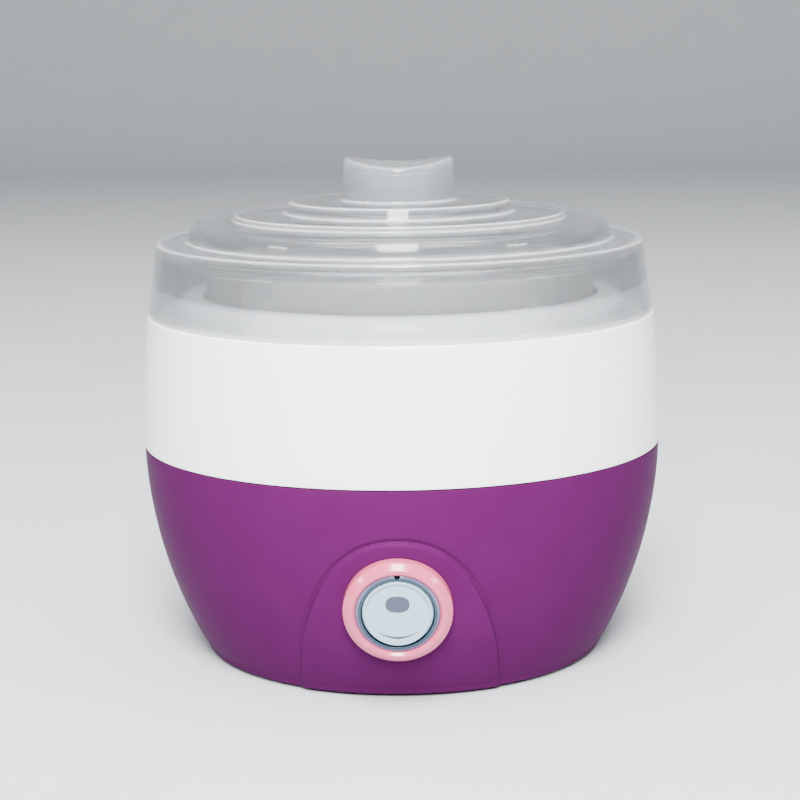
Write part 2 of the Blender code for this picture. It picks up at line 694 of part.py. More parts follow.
def outer_lid(finish):
    """The clear cover: skirt, three steps and a hollow knob, all one moulding of even wall."""
    skirt_radius = barrel_radius(SHOULDER_Z) - PART_GAP
    top_radius = skirt_radius - LID_DRAFT
    wall = LID_WALL
    outer = [
        (0, KNOB_TOP_Z),
        *arc(
            (KNOB_RADIUS - KNOB_DRAFT - KNOB_ROUND, KNOB_TOP_Z - KNOB_ROUND), KNOB_ROUND, 90, 0, 2
        ),
        (KNOB_RADIUS, TOP_STEP_Z),
        *lid_step(TOP_STEP_RADIUS, TOP_STEP_DRAFT, LID_EDGE, MID_STEP_Z, TOP_STEP_Z, 2),
        *lid_step(MID_STEP_RADIUS, 0, LID_EDGE / 2, LOW_STEP_Z, MID_STEP_Z, 1),
        *lid_step(LOW_STEP_RADIUS, LOW_STEP_DRAFT, LOW_STEP_ROUND, FLANGE_Z, LOW_STEP_Z, 4),
        *arc((top_radius - LID_EDGE, FLANGE_Z - LID_EDGE), LID_EDGE, 90, 0, 2),
        (skirt_radius, LID_BOTTOM_Z),
    ]
    fillet = (top_radius - wall - LID_INNER_FILLET, FLANGE_Z - wall - LID_INNER_FILLET)
    cavity_z = KNOB_TOP_Z - SADDLE_DEPTH - wall
    inner = [
        (skirt_radius - wall, LID_BOTTOM_Z),
        *arc(fillet, LID_INNER_FILLET, 0, 90, 4),
        (LOW_STEP_RADIUS - wall, FLANGE_Z - wall),
        *arc(
            (LOW_STEP_RADIUS - LOW_STEP_DRAFT - LOW_STEP_ROUND, LOW_STEP_Z - LOW_STEP_ROUND),
            LOW_STEP_ROUND - wall,
            0,
            90,
            3,
        ),
        (MID_STEP_RADIUS - wall, LOW_STEP_Z - wall),
        (MID_STEP_RADIUS - wall, MID_STEP_Z - wall),
        (TOP_STEP_RADIUS - wall, MID_STEP_Z - wall),
        (TOP_STEP_RADIUS - TOP_STEP_DRAFT - wall, TOP_STEP_Z - wall),
        (KNOB_RADIUS - wall, TOP_STEP_Z - wall),
        (KNOB_RADIUS - KNOB_DRAFT - wall, cavity_z),
        (0, cavity_z),
    ]
    lid = turned("outer_lid", outer + inner, finish)
    reach = KNOB_RADIUS - KNOB_DRAFT - KNOB_ROUND
    saddle_radius = (reach**2 + SADDLE_DEPTH**2) / (2 * SADDLE_DEPTH)
    axis = Matrix.Translation((0, 0, KNOB_TOP_Z - SADDLE_DEPTH + saddle_radius))
    axis = axis @ Matrix.Rotation(math.pi / 2, 4, "X")
    combine(lid, "DIFFERENCE", rods("saddle", [(axis, saddle_radius, -BODY_RADIUS, BODY_RADIUS)], steps=96))
    return lid


def drill(piece, name, holes, steps=SCREW_STEPS):
    combine(piece, "DIFFERENCE", rods(name, holes, steps=steps))


def heater_group(look):
    """The heated plate on its seal, and the heater clamped under it."""
    seal = turned(
        "plate_seal",
        [
            (PLATE_OPENING, SEAL_Z),
            (PLATE_RADIUS, SEAL_Z),
            (PLATE_RADIUS, SEAL_Z + SEAL_THICKNESS),
            (PLATE_OPENING, SEAL_Z + SEAL_THICKNESS),
        ],
        look["silicone"],
    )
    plate = turned(
        "heater_plate",
        [(0, PLATE_Z), (PLATE_RADIUS, PLATE_Z), (PLATE_RADIUS, PLATE_TOP_Z), (0, PLATE_TOP_Z)],
        look["aluminium"],
    )
    screw_hole = PLATE_SCREW["shank"] + SCREW_CLEARANCE
    small_hole = SMALL_SCREW["shank"] + SCREW_CLEARANCE
    blind_z = PLATE_TOP_Z - POT_SHEET
    drill(seal, "seal_holes", upright_holes(plate_screw_places(), screw_hole, 0, PLATE_Z))
    holes = upright_holes(plate_screw_places(), screw_hole, SEAL_Z, blind_z)
    holes += upright_holes(clamp_screw_places() + clip_screw_places(), small_hole, SEAL_Z, blind_z)
    drill(plate, "plate_holes", holes)

    width, depth, height = PTC_SIZE
    heater_z = PLATE_Z - PART_GAP - height
    lying = Matrix.Translation((0, 0, heater_z))
    prism("ptc_heater", rectangle(width, depth), height, look["ceramic"], lying)
    strap = hat_strap(width + 4 * PART_GAP, height + PART_GAP, CLAMP_SHEET, CLAMP_FOOT)
    clamp = prism("heater_clamp", strap, CLAMP_WIDTH, look["zinc"], hanging(0, CLAMP_WIDTH))
    drill(clamp, "clamp_holes", upright_holes(clamp_screw_places(), small_hole, 0, PLATE_Z))

    fuse_z = PLATE_Z - 2 * PART_GAP - FUSE_RADIUS
    along = Matrix.Translation((0, -FUSE_OFFSET, fuse_z)) @ Matrix.Rotation(math.pi / 2, 4, "X")
    rods("thermal_fuse", [(along, FUSE_RADIUS, -FUSE_LENGTH / 2, FUSE_LENGTH / 2)], look["sleeve"])
    fuse = 2 * FUSE_RADIUS
    bridge = hat_strap(fuse + 4 * PART_GAP, fuse + 2 * PART_GAP, CLIP_SHEET, CLIP_FOOT)
    clip = prism("fuse_clip", bridge, CLIP_WIDTH, look["zinc"], hanging(-FUSE_OFFSET, CLIP_WIDTH))
    drill(clip, "clip_holes", upright_holes(clip_screw_places(), small_hole, 0, PLATE_Z))


def upright_holes(places, radius, low, high):
    return [(Matrix.Translation((x, y, 0)), radius, low, high) for x, y in places]


def hat_strap(inside_width, inside_height, sheet, foot):
    """The outline of a bent strap: two feet joined by a sunk bridge, with the feet's tops at y = 0."""
    half = inside_width / 2
    low = -inside_height
    right = [
        (half + sheet + foot, 0),
        (half, 0),
        (half, low),
    ]
    under = [
        (half + sheet, low - sheet),
        (half + sheet, -sheet),
        (half + sheet + foot, -sheet),
    ]
    left = [(-x, y) for x, y in right[::-1]]
    under_left = [(-x, y) for x, y in under[::-1]]
    return right + left + under_left + under


def hanging(y, width):
    """Places a strap's outline upright under the plate, its width along Y and centred there."""
    upright = Matrix.Rotation(math.pi / 2, 4, "X")
    return Matrix.Translation((0, y + width / 2, PLATE_Z - PART_GAP)) @ upright


def clamp_screw_places():
    reach = PTC_SIZE[0] / 2 + 2 * PART_GAP + CLAMP_SHEET + CLAMP_FOOT / 2
    return [(-reach, 0), (reach, 0)]


def clip_screw_places():
    reach = FUSE_RADIUS + 2 * PART_GAP + CLIP_SHEET + CLIP_FOOT / 2
    return [(reach, -FUSE_OFFSET)]


def screw(name, sizes, place, finish):
    """A pan-head screw. Its head's underside is at the place's origin and its shank points along +Z."""
    shank, length, head, height = (sizes[key] for key in ("shank", "length", "head", "head_height"))
    outline = [
        (0, -height),
        (head * HEAD_CROWN[0], -height),
        (head, -height * HEAD_CROWN[1]),
        (head, 0),
        (shank, 0),
        (shank, length - shank),
        (0, length),
    ]
    item = turned(name, outline, finish, SCREW_STEPS, place)
    slot = bmesh.new()
    for turn in (0, math.pi / 2):
        size = Matrix.Diagonal((head * HEAD_DRIVE[0], head * HEAD_DRIVE[1], HEAD_DRIVE_DEPTH * 2, 1))
        arm = Matrix.Translation((0, 0, -height)) @ Matrix.Rotation(turn, 4, "Z") @ size
        bmesh.ops.create_cube(slot, size=1, matrix=arm)
    cross = add_object(name + "_drive", mesh_from(slot, name + "_drive"), None)
    cross.matrix_world = place
    combine(item, "DIFFERENCE", cross, crossing=True)
    return item


def screws(look):
    head_z = housing_screw_head_z() - PART_GAP
    for number, (x, y) in enumerate(housing_screw_places(), 1):
        screw(f"housing_screw_{number}", HOUSING_SCREW, Matrix.Translation((x, y, head_z)), look["zinc"])
    head_z = WELL_UNDERSIDE_Z - PART_GAP
    for number, (x, y) in enumerate(plate_screw_places(), 1):
        screw(f"plate_screw_{number}", PLATE_SCREW, Matrix.Translation((x, y, head_z)), look["zinc"])
    head_z = PLATE_Z - PART_GAP - CLAMP_SHEET - PART_GAP
    for number, (x, y) in enumerate(clamp_screw_places(), 1):
        screw(f"clamp_screw_{number}", SMALL_SCREW, Matrix.Translation((x, y, head_z)), look["zinc"])
    head_z = PLATE_Z - PART_GAP - CLIP_SHEET - PART_GAP
    for x, y in clip_screw_places():
        screw("clip_screw", SMALL_SCREW, Matrix.Translation((x, y, head_z)), look["zinc"])
    for number, place in enumerate(board_screw_places(), 1):
        head = place @ Matrix.Translation((0, 0, BOARD_BACK - PART_GAP))
        screw(f"board_screw_{number}", BOARD_SCREW, head, look["zinc"])


def bezel(finish):
    """The pink ring: a rounded front, and a sleeve through the wall."""
    shoulder_in, shoulder_up = BEZEL_SHOULDER
    lip_width, lip_drop = BEZEL_LIP
    outline = [
        (BEZEL_BORE, -BEZEL_SLEEVE_DEPTH),
        (BEZEL_BORE + BEZEL_SLEEVE, -BEZEL_SLEEVE_DEPTH),
        (BEZEL_BORE + BEZEL_SLEEVE, -BEZEL_SEAT + PART_GAP),
        (BEZEL_RADIUS, -BEZEL_SEAT + PART_GAP),
        (BEZEL_RADIUS, BEZEL_RIM),
        (BEZEL_RADIUS - shoulder_in, BEZEL_RIM + shoulder_up),
        (BEZEL_BORE + 2 * lip_width, BEZEL_PROUD),
        (BEZEL_BORE + lip_width, BEZEL_PROUD),
        (BEZEL_BORE, BEZEL_PROUD - lip_drop),
    ]
    return turned("bezel", outline, finish, ROUND_STEPS, panel_frame())


def light_ring(finish):
    """The translucent ring round the button, with a small notch at its top."""
    outline = [
        (RING_BORE, -RING_BACK),
        (RING_RADIUS, -RING_BACK),
        (RING_RADIUS, RING_FRONT),
        (RING_BORE, RING_FRONT),
    ]
    ring = turned("light_ring", outline, finish, ROUND_STEPS, panel_frame())
    place = panel_frame() @ Matrix.Translation((0, RING_RADIUS, 0))
    drill(ring, "ring_notch", [(place, RING_NOTCH, -RING_NOTCH, BEZEL_PROUD)], steps=8)
    return ring


def start_button(finish):
    """The round push button: a domed face, a hollow back, a flange that keeps it in, and a stem."""
    rim = BUTTON_RADIUS - BUTTON_SHELL
    ceiling = BUTTON_FRONT - BUTTON_SHELL
    outline = [
        (0, BUTTON_FRONT + BUTTON_DOME),
        (BUTTON_RADIUS * BUTTON_DOME_POINT[0], BUTTON_FRONT + BUTTON_DOME * BUTTON_DOME_POINT[1]),
        (BUTTON_RADIUS - PART_GAP, BUTTON_FRONT),
        (BUTTON_RADIUS, BUTTON_FRONT - PART_GAP),
        (BUTTON_RADIUS, BUTTON_BACK),
        (BUTTON_RADIUS + BUTTON_FLANGE, BUTTON_BACK),
        (BUTTON_RADIUS + BUTTON_FLANGE, BUTTON_FLANGE_BACK),
        (rim, BUTTON_FLANGE_BACK),
        (rim, ceiling),
        (BUTTON_STEM_RADIUS, ceiling),
        (BUTTON_STEM_RADIUS, STEM_END),
        (0, STEM_END),
    ]
    return turned("start_button", outline, finish, ROUND_STEPS, panel_frame())


def indicator_board(look):
    """The board behind the button, with its switch, LED and resistor."""
    frame = panel_frame()
    board = prism(
        "indicator_board",
        rectangle(BOARD_WIDTH, BOARD_HEIGHT),
        BOARD_THICKNESS,
        look["board"],
        frame @ Matrix.Translation((0, 0, BOARD_BACK)),
    )
    hole = BOARD_SCREW["shank"] + SCREW_CLEARANCE
    past = BOARD_THICKNESS
    holes = [(p, hole, BOARD_BACK - past, BOARD_FRONT + past) for p in board_screw_places()]
    drill(board, "board_holes", holes)

    body = prism(
        "push_switch",
        rectangle(SWITCH_SIZE, SWITCH_SIZE),
        SWITCH_HEIGHT,
        look["black"],
        frame @ Matrix.Translation((0, 0, BOARD_FRONT + PART_GAP)),
    )
    bore_floor = PLUNGER_TIP - PLUNGER_LENGTH - BUTTON_TRAVEL - PART_GAP
    drill(body, "switch_bore", [(frame, PLUNGER_RADIUS + PART_GAP, bore_floor, PLUNGER_TIP)])
    low = PLUNGER_TIP - PLUNGER_LENGTH
    outline = [(0, low), (PLUNGER_RADIUS, low), (PLUNGER_RADIUS, PLUNGER_TIP), (0, PLUNGER_TIP)]
    turned("switch_plunger", outline, look["black"], SCREW_STEPS, frame)

    low = BOARD_FRONT + PART_GAP
    collar = LED_RADIUS + LED_COLLAR
    collar_top = low + LED_RADIUS / 2
    outline = [(0, low), (collar, low), (collar, collar_top), (LED_RADIUS, collar_top)]
    outline += arc((0, low + LED_HEIGHT - LED_RADIUS), LED_RADIUS, 0, 90, 3)[:-1]
    outline.append((0, low + LED_HEIGHT))
    turned("led", outline, look["led"], SCREW_STEPS, frame @ Matrix.Translation((0, LED_RISE, 0)))

    across, up = RESISTOR_PLACE
    at = frame @ Matrix.Translation((across, up, low + RESISTOR_RADIUS))
    lying = at @ Matrix.Rotation(math.pi / 2, 4, "Y")
    reach = RESISTOR_LENGTH / 2
    rods("resistor", [(lying, RESISTOR_RADIUS, -reach, reach)], look["terminal"], SCREW_STEPS)


def cord_gland(finish):
    """The rubber bush in the back wall: a flange outside, a waist in the wall and a lip inside."""
    out = PART_GAP
    inside = -GLAND_BOSS_DEPTH - PART_GAP
    outline = [
        (GLAND_BORE, out + GLAND_FLANGE_THICKNESS),
        (GLAND_BORE, inside - GLAND_LIP),
        (GLAND_NECK + GLAND_LIP / 2, inside - GLAND_LIP),
        (GLAND_NECK + GLAND_LIP, inside),
        (GLAND_NECK, inside),
        (GLAND_NECK, out),
        (GLAND_FLANGE, out),
        (GLAND_FLANGE, out + GLAND_FLANGE_THICKNESS - GLAND_CHAMFER),
        (GLAND_FLANGE - GLAND_CHAMFER, out + GLAND_FLANGE_THICKNESS),
    ]
    return turned("cord_gland", outline[::-1], finish, SMALL_ROUND_STEPS, gland_frame())


def terminal_block(finish):
    """The screw terminal block on the base's floor, with a wire entry for each pole."""
    width, depth, height = TERMINAL_SIZE
    low = BASE_FLOOR_Z + PART_GAP
    place = Matrix.Translation((0, TERMINAL_Y, low))
    block = prism("terminal_block", rectangle(width, depth), height, finish, place)
    middle = low + height / 2
    along = Matrix.Rotation(math.pi / 2, 4, "X")
    poles = [Matrix.Translation((x, TERMINAL_Y, middle)) for x in (-TERMINAL_POLE, TERMINAL_POLE)]
    holes = [(pole @ along, TERMINAL_BORE, -depth, depth) for pole in poles]
    drill(block, "terminal_bores", holes, steps=8)
    return block


def rubber_feet(finish):
    outline = [
        (0, 0),
        (FOOT_RADIUS - FOOT_EDGE, 0),
        (FOOT_RADIUS, FOOT_EDGE),
        (FOOT_RADIUS, FOOT_HEIGHT),
        (0, FOOT_HEIGHT),
    ]
    for number, (x, y) in enumerate(foot_places(), 1):
        turned(f"foot_{number}", outline, finish, SMALL_ROUND_STEPS, Matrix.Translation((x, y, 0)))


def wires(look):
    """Single-core wires: terminal to heater, terminal to fuse, fuse to heater, terminal to board."""
    pole_y = TERMINAL_Y - TERMINAL_SIZE[1] / 2 - 2 * PART_GAP
    pole_z = BASE_FLOOR_Z + PART_GAP + TERMINAL_SIZE[2] / 2
    heater_y = PTC_SIZE[1] / 2 + 2 * WIRE_RADIUS
    heater_z = PLATE_Z - PTC_SIZE[2] / 2
    low_z = BASE_FLOOR_Z + 4 * WIRE_RADIUS
    fuse_z = PLATE_Z - 2 * PART_GAP - FUSE_RADIUS
    fuse_near = FUSE_OFFSET - FUSE_LENGTH / 2 - 2 * PART_GAP
    fuse_far = FUSE_OFFSET + FUSE_LENGTH / 2 + 2 * PART_GAP
    clamp_side = CLAMP_WIDTH / 2 + 4 * WIRE_RADIUS
    routes = {
        "wire_heater": [
            (-TERMINAL_POLE, pole_y, pole_z),
            (-TERMINAL_POLE, pole_y - WIRE_LEAD, pole_z + WIRE_BEND),
            (-TERMINAL_POLE, heater_y + WIRE_LEAD, heater_z - WIRE_LEAD),
            (-TERMINAL_POLE, heater_y, heater_z),
        ],
        "wire_fuse": [
            (TERMINAL_POLE, pole_y, pole_z),
            (TERMINAL_POLE + WIRE_BEND, pole_y - WIRE_LEAD, pole_z - WIRE_BEND),
            (TERMINAL_POLE, clamp_side, low_z),
            (TERMINAL_POLE * 2 / 3, 0, low_z),
            (TERMINAL_POLE / 2, -FUSE_OFFSET, low_z),
            (TERMINAL_POLE / 3, -fuse_far - WIRE_LEAD, low_z + WIRE_LEAD),
            (0, -fuse_far - WIRE_LEAD, fuse_z - WIRE_BEND),
            (0, -fuse_far, fuse_z),
        ],
        "wire_link": [
            (0, -fuse_near, fuse_z),
            (0, -fuse_near + WIRE_BEND, fuse_z),
            (TERMINAL_POLE / 3, -heater_y, heater_z - WIRE_BEND / 2),
            (TERMINAL_POLE, -heater_y, heater_z),
        ],
    }
    board_low = panel_frame() @ Vector(
        (-BOARD_WIDTH / 4, -BOARD_HEIGHT / 2 - 2 * WIRE_RADIUS, (BOARD_FRONT + BOARD_BACK) / 2)
    )
    gap_radius = (WELL_RADIUS + WELL_WALL + barrel_radius(WELL_UNDERSIDE_Z, WALL)) / 2
    pole_out = TERMINAL_Y + TERMINAL_SIZE[1] / 2 + 2 * PART_GAP
    circle = HOUSING_SCREW_CIRCLE
    routes["wire_board"] = [
        (-TERMINAL_POLE, pole_out, pole_z),
        (-TERMINAL_POLE - WIRE_LEAD, pole_out + WIRE_LEAD, pole_z),
        (-TERMINAL_POLE * 3, pole_out, low_z),
        *((-circle * across, circle * back, low_z) for across, back in WIRE_LOOP),
        (board_low.x - WIRE_LEAD, -gap_radius + WIRE_LEAD, WELL_UNDERSIDE_Z - WIRE_LEAD),
        (board_low.x, board_low.y, board_low.z - WIRE_BEND),
        tuple(board_low),
    ]
    for name, points in routes.items():
        tube(name, points, WIRE_RADIUS, look["wire"])


def build():
    clear_scene()
    look = materials()
    base_shell(look["base"])
    upper_housing(look["housing"])
    inner_pot(look["steel"])
    inner_lid(look["inner_lid"])
    outer_lid(look["clear_lid"])
    heater_group(look)
    bezel(look["bezel"])
    light_ring(look["ring"])
    start_button(look["button"])
    indicator_board(look)
    terminal_block(look["terminal"])
    cord_gland(look["rubber"])
    rubber_feet(look["rubber"])
    screws(look)
    wires(look)


build()
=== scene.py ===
"""Yogurt maker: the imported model, with each visible shell redrawn at full smoothness and finished.

Lengths are written in millimetres and become metres as a mesh is made. +Z is up, the control faces -Y.
"""

import math

import bpy
import numpy as np
from mathutils import Matrix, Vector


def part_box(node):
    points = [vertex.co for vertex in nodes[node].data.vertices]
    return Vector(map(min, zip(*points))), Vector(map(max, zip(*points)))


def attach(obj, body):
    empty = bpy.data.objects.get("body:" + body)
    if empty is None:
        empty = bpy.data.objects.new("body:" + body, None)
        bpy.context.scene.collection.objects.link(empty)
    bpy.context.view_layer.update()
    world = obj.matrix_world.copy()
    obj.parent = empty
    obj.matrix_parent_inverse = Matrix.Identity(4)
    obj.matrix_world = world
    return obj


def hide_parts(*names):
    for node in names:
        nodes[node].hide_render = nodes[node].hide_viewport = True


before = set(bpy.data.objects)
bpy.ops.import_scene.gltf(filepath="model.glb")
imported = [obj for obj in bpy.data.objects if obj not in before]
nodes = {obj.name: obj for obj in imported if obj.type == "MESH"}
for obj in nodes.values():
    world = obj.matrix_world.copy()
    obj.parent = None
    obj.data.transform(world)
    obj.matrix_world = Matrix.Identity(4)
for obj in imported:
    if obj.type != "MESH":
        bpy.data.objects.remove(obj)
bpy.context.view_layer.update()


# ---------------------------------------------------------------------------
# Base shell. The lower half of the barrel, injection moulded in purple polypropylene with a satin
# skin. It has a raised arch at the front for the control, and four screws hold it from below.

BARREL_RADIUS = 82.6
BARREL_WIDEST = 71.3
UPPER_ARC = 346.0
LOWER_ARC = 139.85
CORNER_ARC = 44.35
CORNER_LEAN = math.radians(26.6)
SHELL_WALL = 2.4
BASE_UNDERSIDE = 0.8
PARTING = 67.3
ARCH_HALF_WIDTH = 29.5
ARCH_TOP = 51.6
ARCH_POWER = 2.3
PAD_STANDOUT = 0.7
PAD_BULGE = 1.6
PAD_BULGE_HEIGHT = 22.0
PAD_BULGE_SPREAD = 16.0
PAD_EDGE = 1.3
PAD_STOP = 1.2
CREASE_DEPTH = 0.5
CREASE_OFFSET = 0.7
CREASE_SPREAD = 0.55
CREASE_START = 22.0
CREASE_FADE = 24.0
PANEL_HEIGHT = 31.4
PANEL_TILT = math.radians(11.5)
FLOOR_TOP = 3.4
UNDER_ROUND = 2.0
UNDER_SWEEP = 1.1
TONGUE_INSET = 1.35
TONGUE_HEIGHT = 3.5
PARTING_EDGE = 0.5
FRONT_SWEEP = 0.5
GLAND_HEIGHT = 14.0
GLAND_REACH = 2.6
FOOT_INSET = 11.0
SCREW_REACH = 51.5
CREASE_ANGLE = math.radians(40)


def barrel(z, inset=0.0):
    """Radius of the barrel at each height: three arcs that meet tangent, each moved in by the inset."""
    upper = BARREL_RADIUS - UPPER_ARC + np.sqrt((UPPER_ARC - inset) ** 2 - (z - BARREL_WIDEST) ** 2)
    lower = BARREL_RADIUS - LOWER_ARC + np.sqrt((LOWER_ARC - inset) ** 2 - (z - BARREL_WIDEST) ** 2)
    reach = LOWER_ARC - CORNER_ARC
    middle_r = BARREL_RADIUS - LOWER_ARC + reach * math.cos(CORNER_LEAN)
    middle_z = BARREL_WIDEST - reach * math.sin(CORNER_LEAN)
    corner = middle_r + np.sqrt(np.maximum((CORNER_ARC - inset) ** 2 - (z - middle_z) ** 2, 0))
    low = z < BARREL_WIDEST - (LOWER_ARC - inset) * math.sin(CORNER_LEAN)
    return np.where(z >= BARREL_WIDEST, upper, np.where(low, corner, lower))


def on_wall(z, inset=0.0):
    """The point (r, z) of the barrel's wall at one height."""
    return float(barrel(np.array(z), inset)), z


def wall(low, high, count, inset=0.0):
    """Points (r, z) up the barrel's wall, evenly spaced in height."""
    z = np.linspace(low, high, count)
    return np.column_stack([barrel(z, inset), z])


def softened(points, radii, steps=5):
    """An outline with each corner replaced by an arc that is tangent to both of its sides.

    A corner with radius 0 stays as it is. Each arc runs from one tangent point to the other, and
    one more point a little outside each tangent point keeps the flats flat under smooth shading.
    """
    points = np.asarray(points, float)
    before = points - np.roll(points, 1, 0)
    after = np.roll(points, -1, 0) - points
    pieces = []
    for corner, back, ahead, radius in zip(points, before, after, radii):
        if not radius:
            pieces.append(corner[None])
            continue
        back_length, ahead_length = np.hypot(*back), np.hypot(*ahead)
        back, ahead = back / back_length, ahead / ahead_length
        turn = math.atan2(back[0] * ahead[1] - back[1] * ahead[0], back @ ahead)
        reach = radius * math.tan(abs(turn) / 2)
        start = corner - back * reach
        side = np.array([-back[1], back[0]]) * math.copysign(1, turn)
        centre = start + side * radius
        angle = np.linspace(0, turn, steps + 1)
        spoke = start - centre
        curve = centre + np.column_stack(
            [
                spoke[0] * np.cos(angle) - spoke[1] * np.sin(angle),
                spoke[0] * np.sin(angle) + spoke[1] * np.cos(angle),
            ]
        )
        spare = min(back_length, ahead_length) / 2 - reach
        margin = min(0.12, max(spare, 0) / 2)
        if margin > 0.01:
            curve = np.vstack([start - back * margin, curve, curve[-1] + ahead * margin])
        pieces.append(curve)
    return np.vstack(pieces)


def full_turn(columns):
    """Evenly spaced angles all the way round, without the last, which is the first again."""
    return np.linspace(0, math.tau, columns, endpoint=False)


def turned(name, outline, angles=None, shift=None, place=None):
    """A surface of revolution: x = r sin a, y = -r cos a, z = z, for each (r, z) of the outline.

    The outline runs anticlockwise round the section, with r to the right. One that starts and ends
    on the axis is closed there by a fan of triangles, and any other closes on itself. shift takes
    the grids of angle, r and z and gives new r and z. place is the matrix that moves the mesh.
    """
    if angles is None:
        angles = full_turn(192)
    solid = outline[0][0] == 0 and outline[-1][0] == 0
    rings = outline[1:-1] if solid else outline
    a, r = np.meshgrid(angles, rings[:, 0])
    z = np.repeat(rings[:, 1][:, None], len(angles), 1)
    if shift is not None:
        r, z = shift(a, r, z)
    grid = np.stack([r * np.sin(a), -r * np.cos(a), z], -1).reshape(-1, 3)
    rows, columns = len(rings), len(angles)
    index = np.arange(rows * columns).reshape(rows, columns)
    lower = index[:-1] if solid else index
    upper = index[1:] if solid else np.roll(index, -1, 0)
    quads = np.stack([lower, np.roll(lower, -1, 1), np.roll(upper, -1, 1), upper], -1).reshape(-1, 4)
    faces = quads.tolist()
    if solid:
        poles = np.array([[0, 0, outline[0][1]], [0, 0, outline[-1][1]]])
        if shift is not None:
            pole_z = shift(np.zeros((2, 1)), np.zeros((2, 1)), poles[:, 2:])[1]
            poles = np.column_stack([np.zeros((2, 2)), pole_z])
        grid = np.vstack([grid, poles])
        south, north = rows * columns, rows * columns + 1
        first, last = index[0], index[-1]
        faces += np.stack([np.full(columns, south), np.roll(first, -1), first], -1).tolist()
        faces += np.stack([np.full(columns, north), last, np.roll(last, -1)], -1).tolist()
    mesh = bpy.data.meshes.new(name)
    mesh.from_pydata(grid * 0.001, [], faces)
    if place is not None:
        mesh.transform(place)
    mesh.shade_smooth()
    mesh.set_sharp_from_angle(angle=CREASE_ANGLE)
    return mesh


def linear(code):
    """An sRGB hex colour as linear RGBA."""
    value = np.array([int(code[i : i + 2], 16) / 255 for i in (1, 3, 5)])
    value = np.where(value <= 0.04045, value / 12.92, ((value + 0.055) / 1.055) ** 2.4)
    return (*value.tolist(), 1.0)


def add(tree, kind, sockets=None, **settings):
    """Adds a node. A socket's value is a plain value, or another node's output to link from."""
    item = tree.nodes.new(kind)
    for key, value in settings.items():
        setattr(item, key, value)
    for key, value in (sockets or {}).items():
        if isinstance(value, bpy.types.NodeSocket):
            tree.links.new(value, item.inputs[key])
        else:
            item.inputs[key].default_value = value
    return item


def surface(name, **sockets):
    """A material whose Principled BSDF has these sockets set. Gives the material, its tree and the shader."""
    material = bpy.data.materials.new(name)
    material.use_nodes = True
    tree = material.node_tree
    shader = tree.nodes["Principled BSDF"]
    for key, value in sockets.items():
        shader.inputs[key.replace("_", " ")].default_value = value
    return material, tree, shader


def noise(tree, grain_mm, detail, vector=None):
    """Noise with grains of this many millimetres, over the object's own coordinates or a given vector."""
    if vector is None:
        vector = add(tree, "ShaderNodeTexCoord").outputs["Object"]
    return add(
        tree, "ShaderNodeTexNoise", {"Vector": vector, "Scale": 1000 / grain_mm, "Detail": detail}
    ).outputs["Fac"]


def mixed(tree, factor, first, second):
    """Goes from the first colour to the second. Each is a hex code or another node's output."""
    first, second = (linear(item) if isinstance(item, str) else item for item in (first, second))
    sockets = {"Factor": factor, "A": first, "B": second}
    return add(tree, "ShaderNodeMix", sockets, data_type="RGBA").outputs["Result"]


def ranged(tree, value, low, high):
    """Maps a value from 0 to 1 on to low to high."""
    sockets = {"Value": value, "To Min": low, "To Max": high}
    return add(tree, "ShaderNodeMapRange", sockets).outputs["Result"]


def relief(tree, height, strength, depth_mm):
    """A bump's normal, from a height and the depth of the relief in millimetres."""
    sockets = {"Height": height, "Strength": strength, "Distance": depth_mm * 0.001}
    return add(tree, "ShaderNodeBump", sockets).outputs["Normal"]


def moulded_plastic(name, low, high, roughness, patch_mm=14.0, skin_mm=0.7, skin_depth=0.004, **sockets):
    """Injection-moulded thermoplastic: dense colour with a slight cloudiness from the melt, and a
    skin that copies the tool's fine texture. The cloudiness breaks up the big plain areas, and the
    skin softens the edge of each reflection."""
    material, tree, shader = surface(name, **sockets)
    cloud = noise(tree, patch_mm, 3.0)
    tree.links.new(mixed(tree, cloud, low, high), shader.inputs["Base Color"])
    tree.links.new(ranged(tree, cloud, *roughness), shader.inputs["Roughness"])
    skin = relief(tree, noise(tree, skin_mm, 2.0), 0.25, skin_depth)
    tree.links.new(skin, shader.inputs["Normal"])
    return material


def show(mesh, material, body, replaced):
    """Puts a finished mesh in the scene as the piece that stands for these CAD nodes."""
    mesh.materials.append(material)
    piece = bpy.data.objects.new(mesh.name, mesh)
    bpy.context.scene.collection.objects.link(piece)
    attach(piece, body)
    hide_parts(*replaced)


def pad_rise(z):
    """How far the pad stands out of the barrel at each height: a step, and a bulge at the control."""
    return PAD_STANDOUT + PAD_BULGE * np.exp(-(((z - PAD_BULGE_HEIGHT) / PAD_BULGE_SPREAD) ** 2))


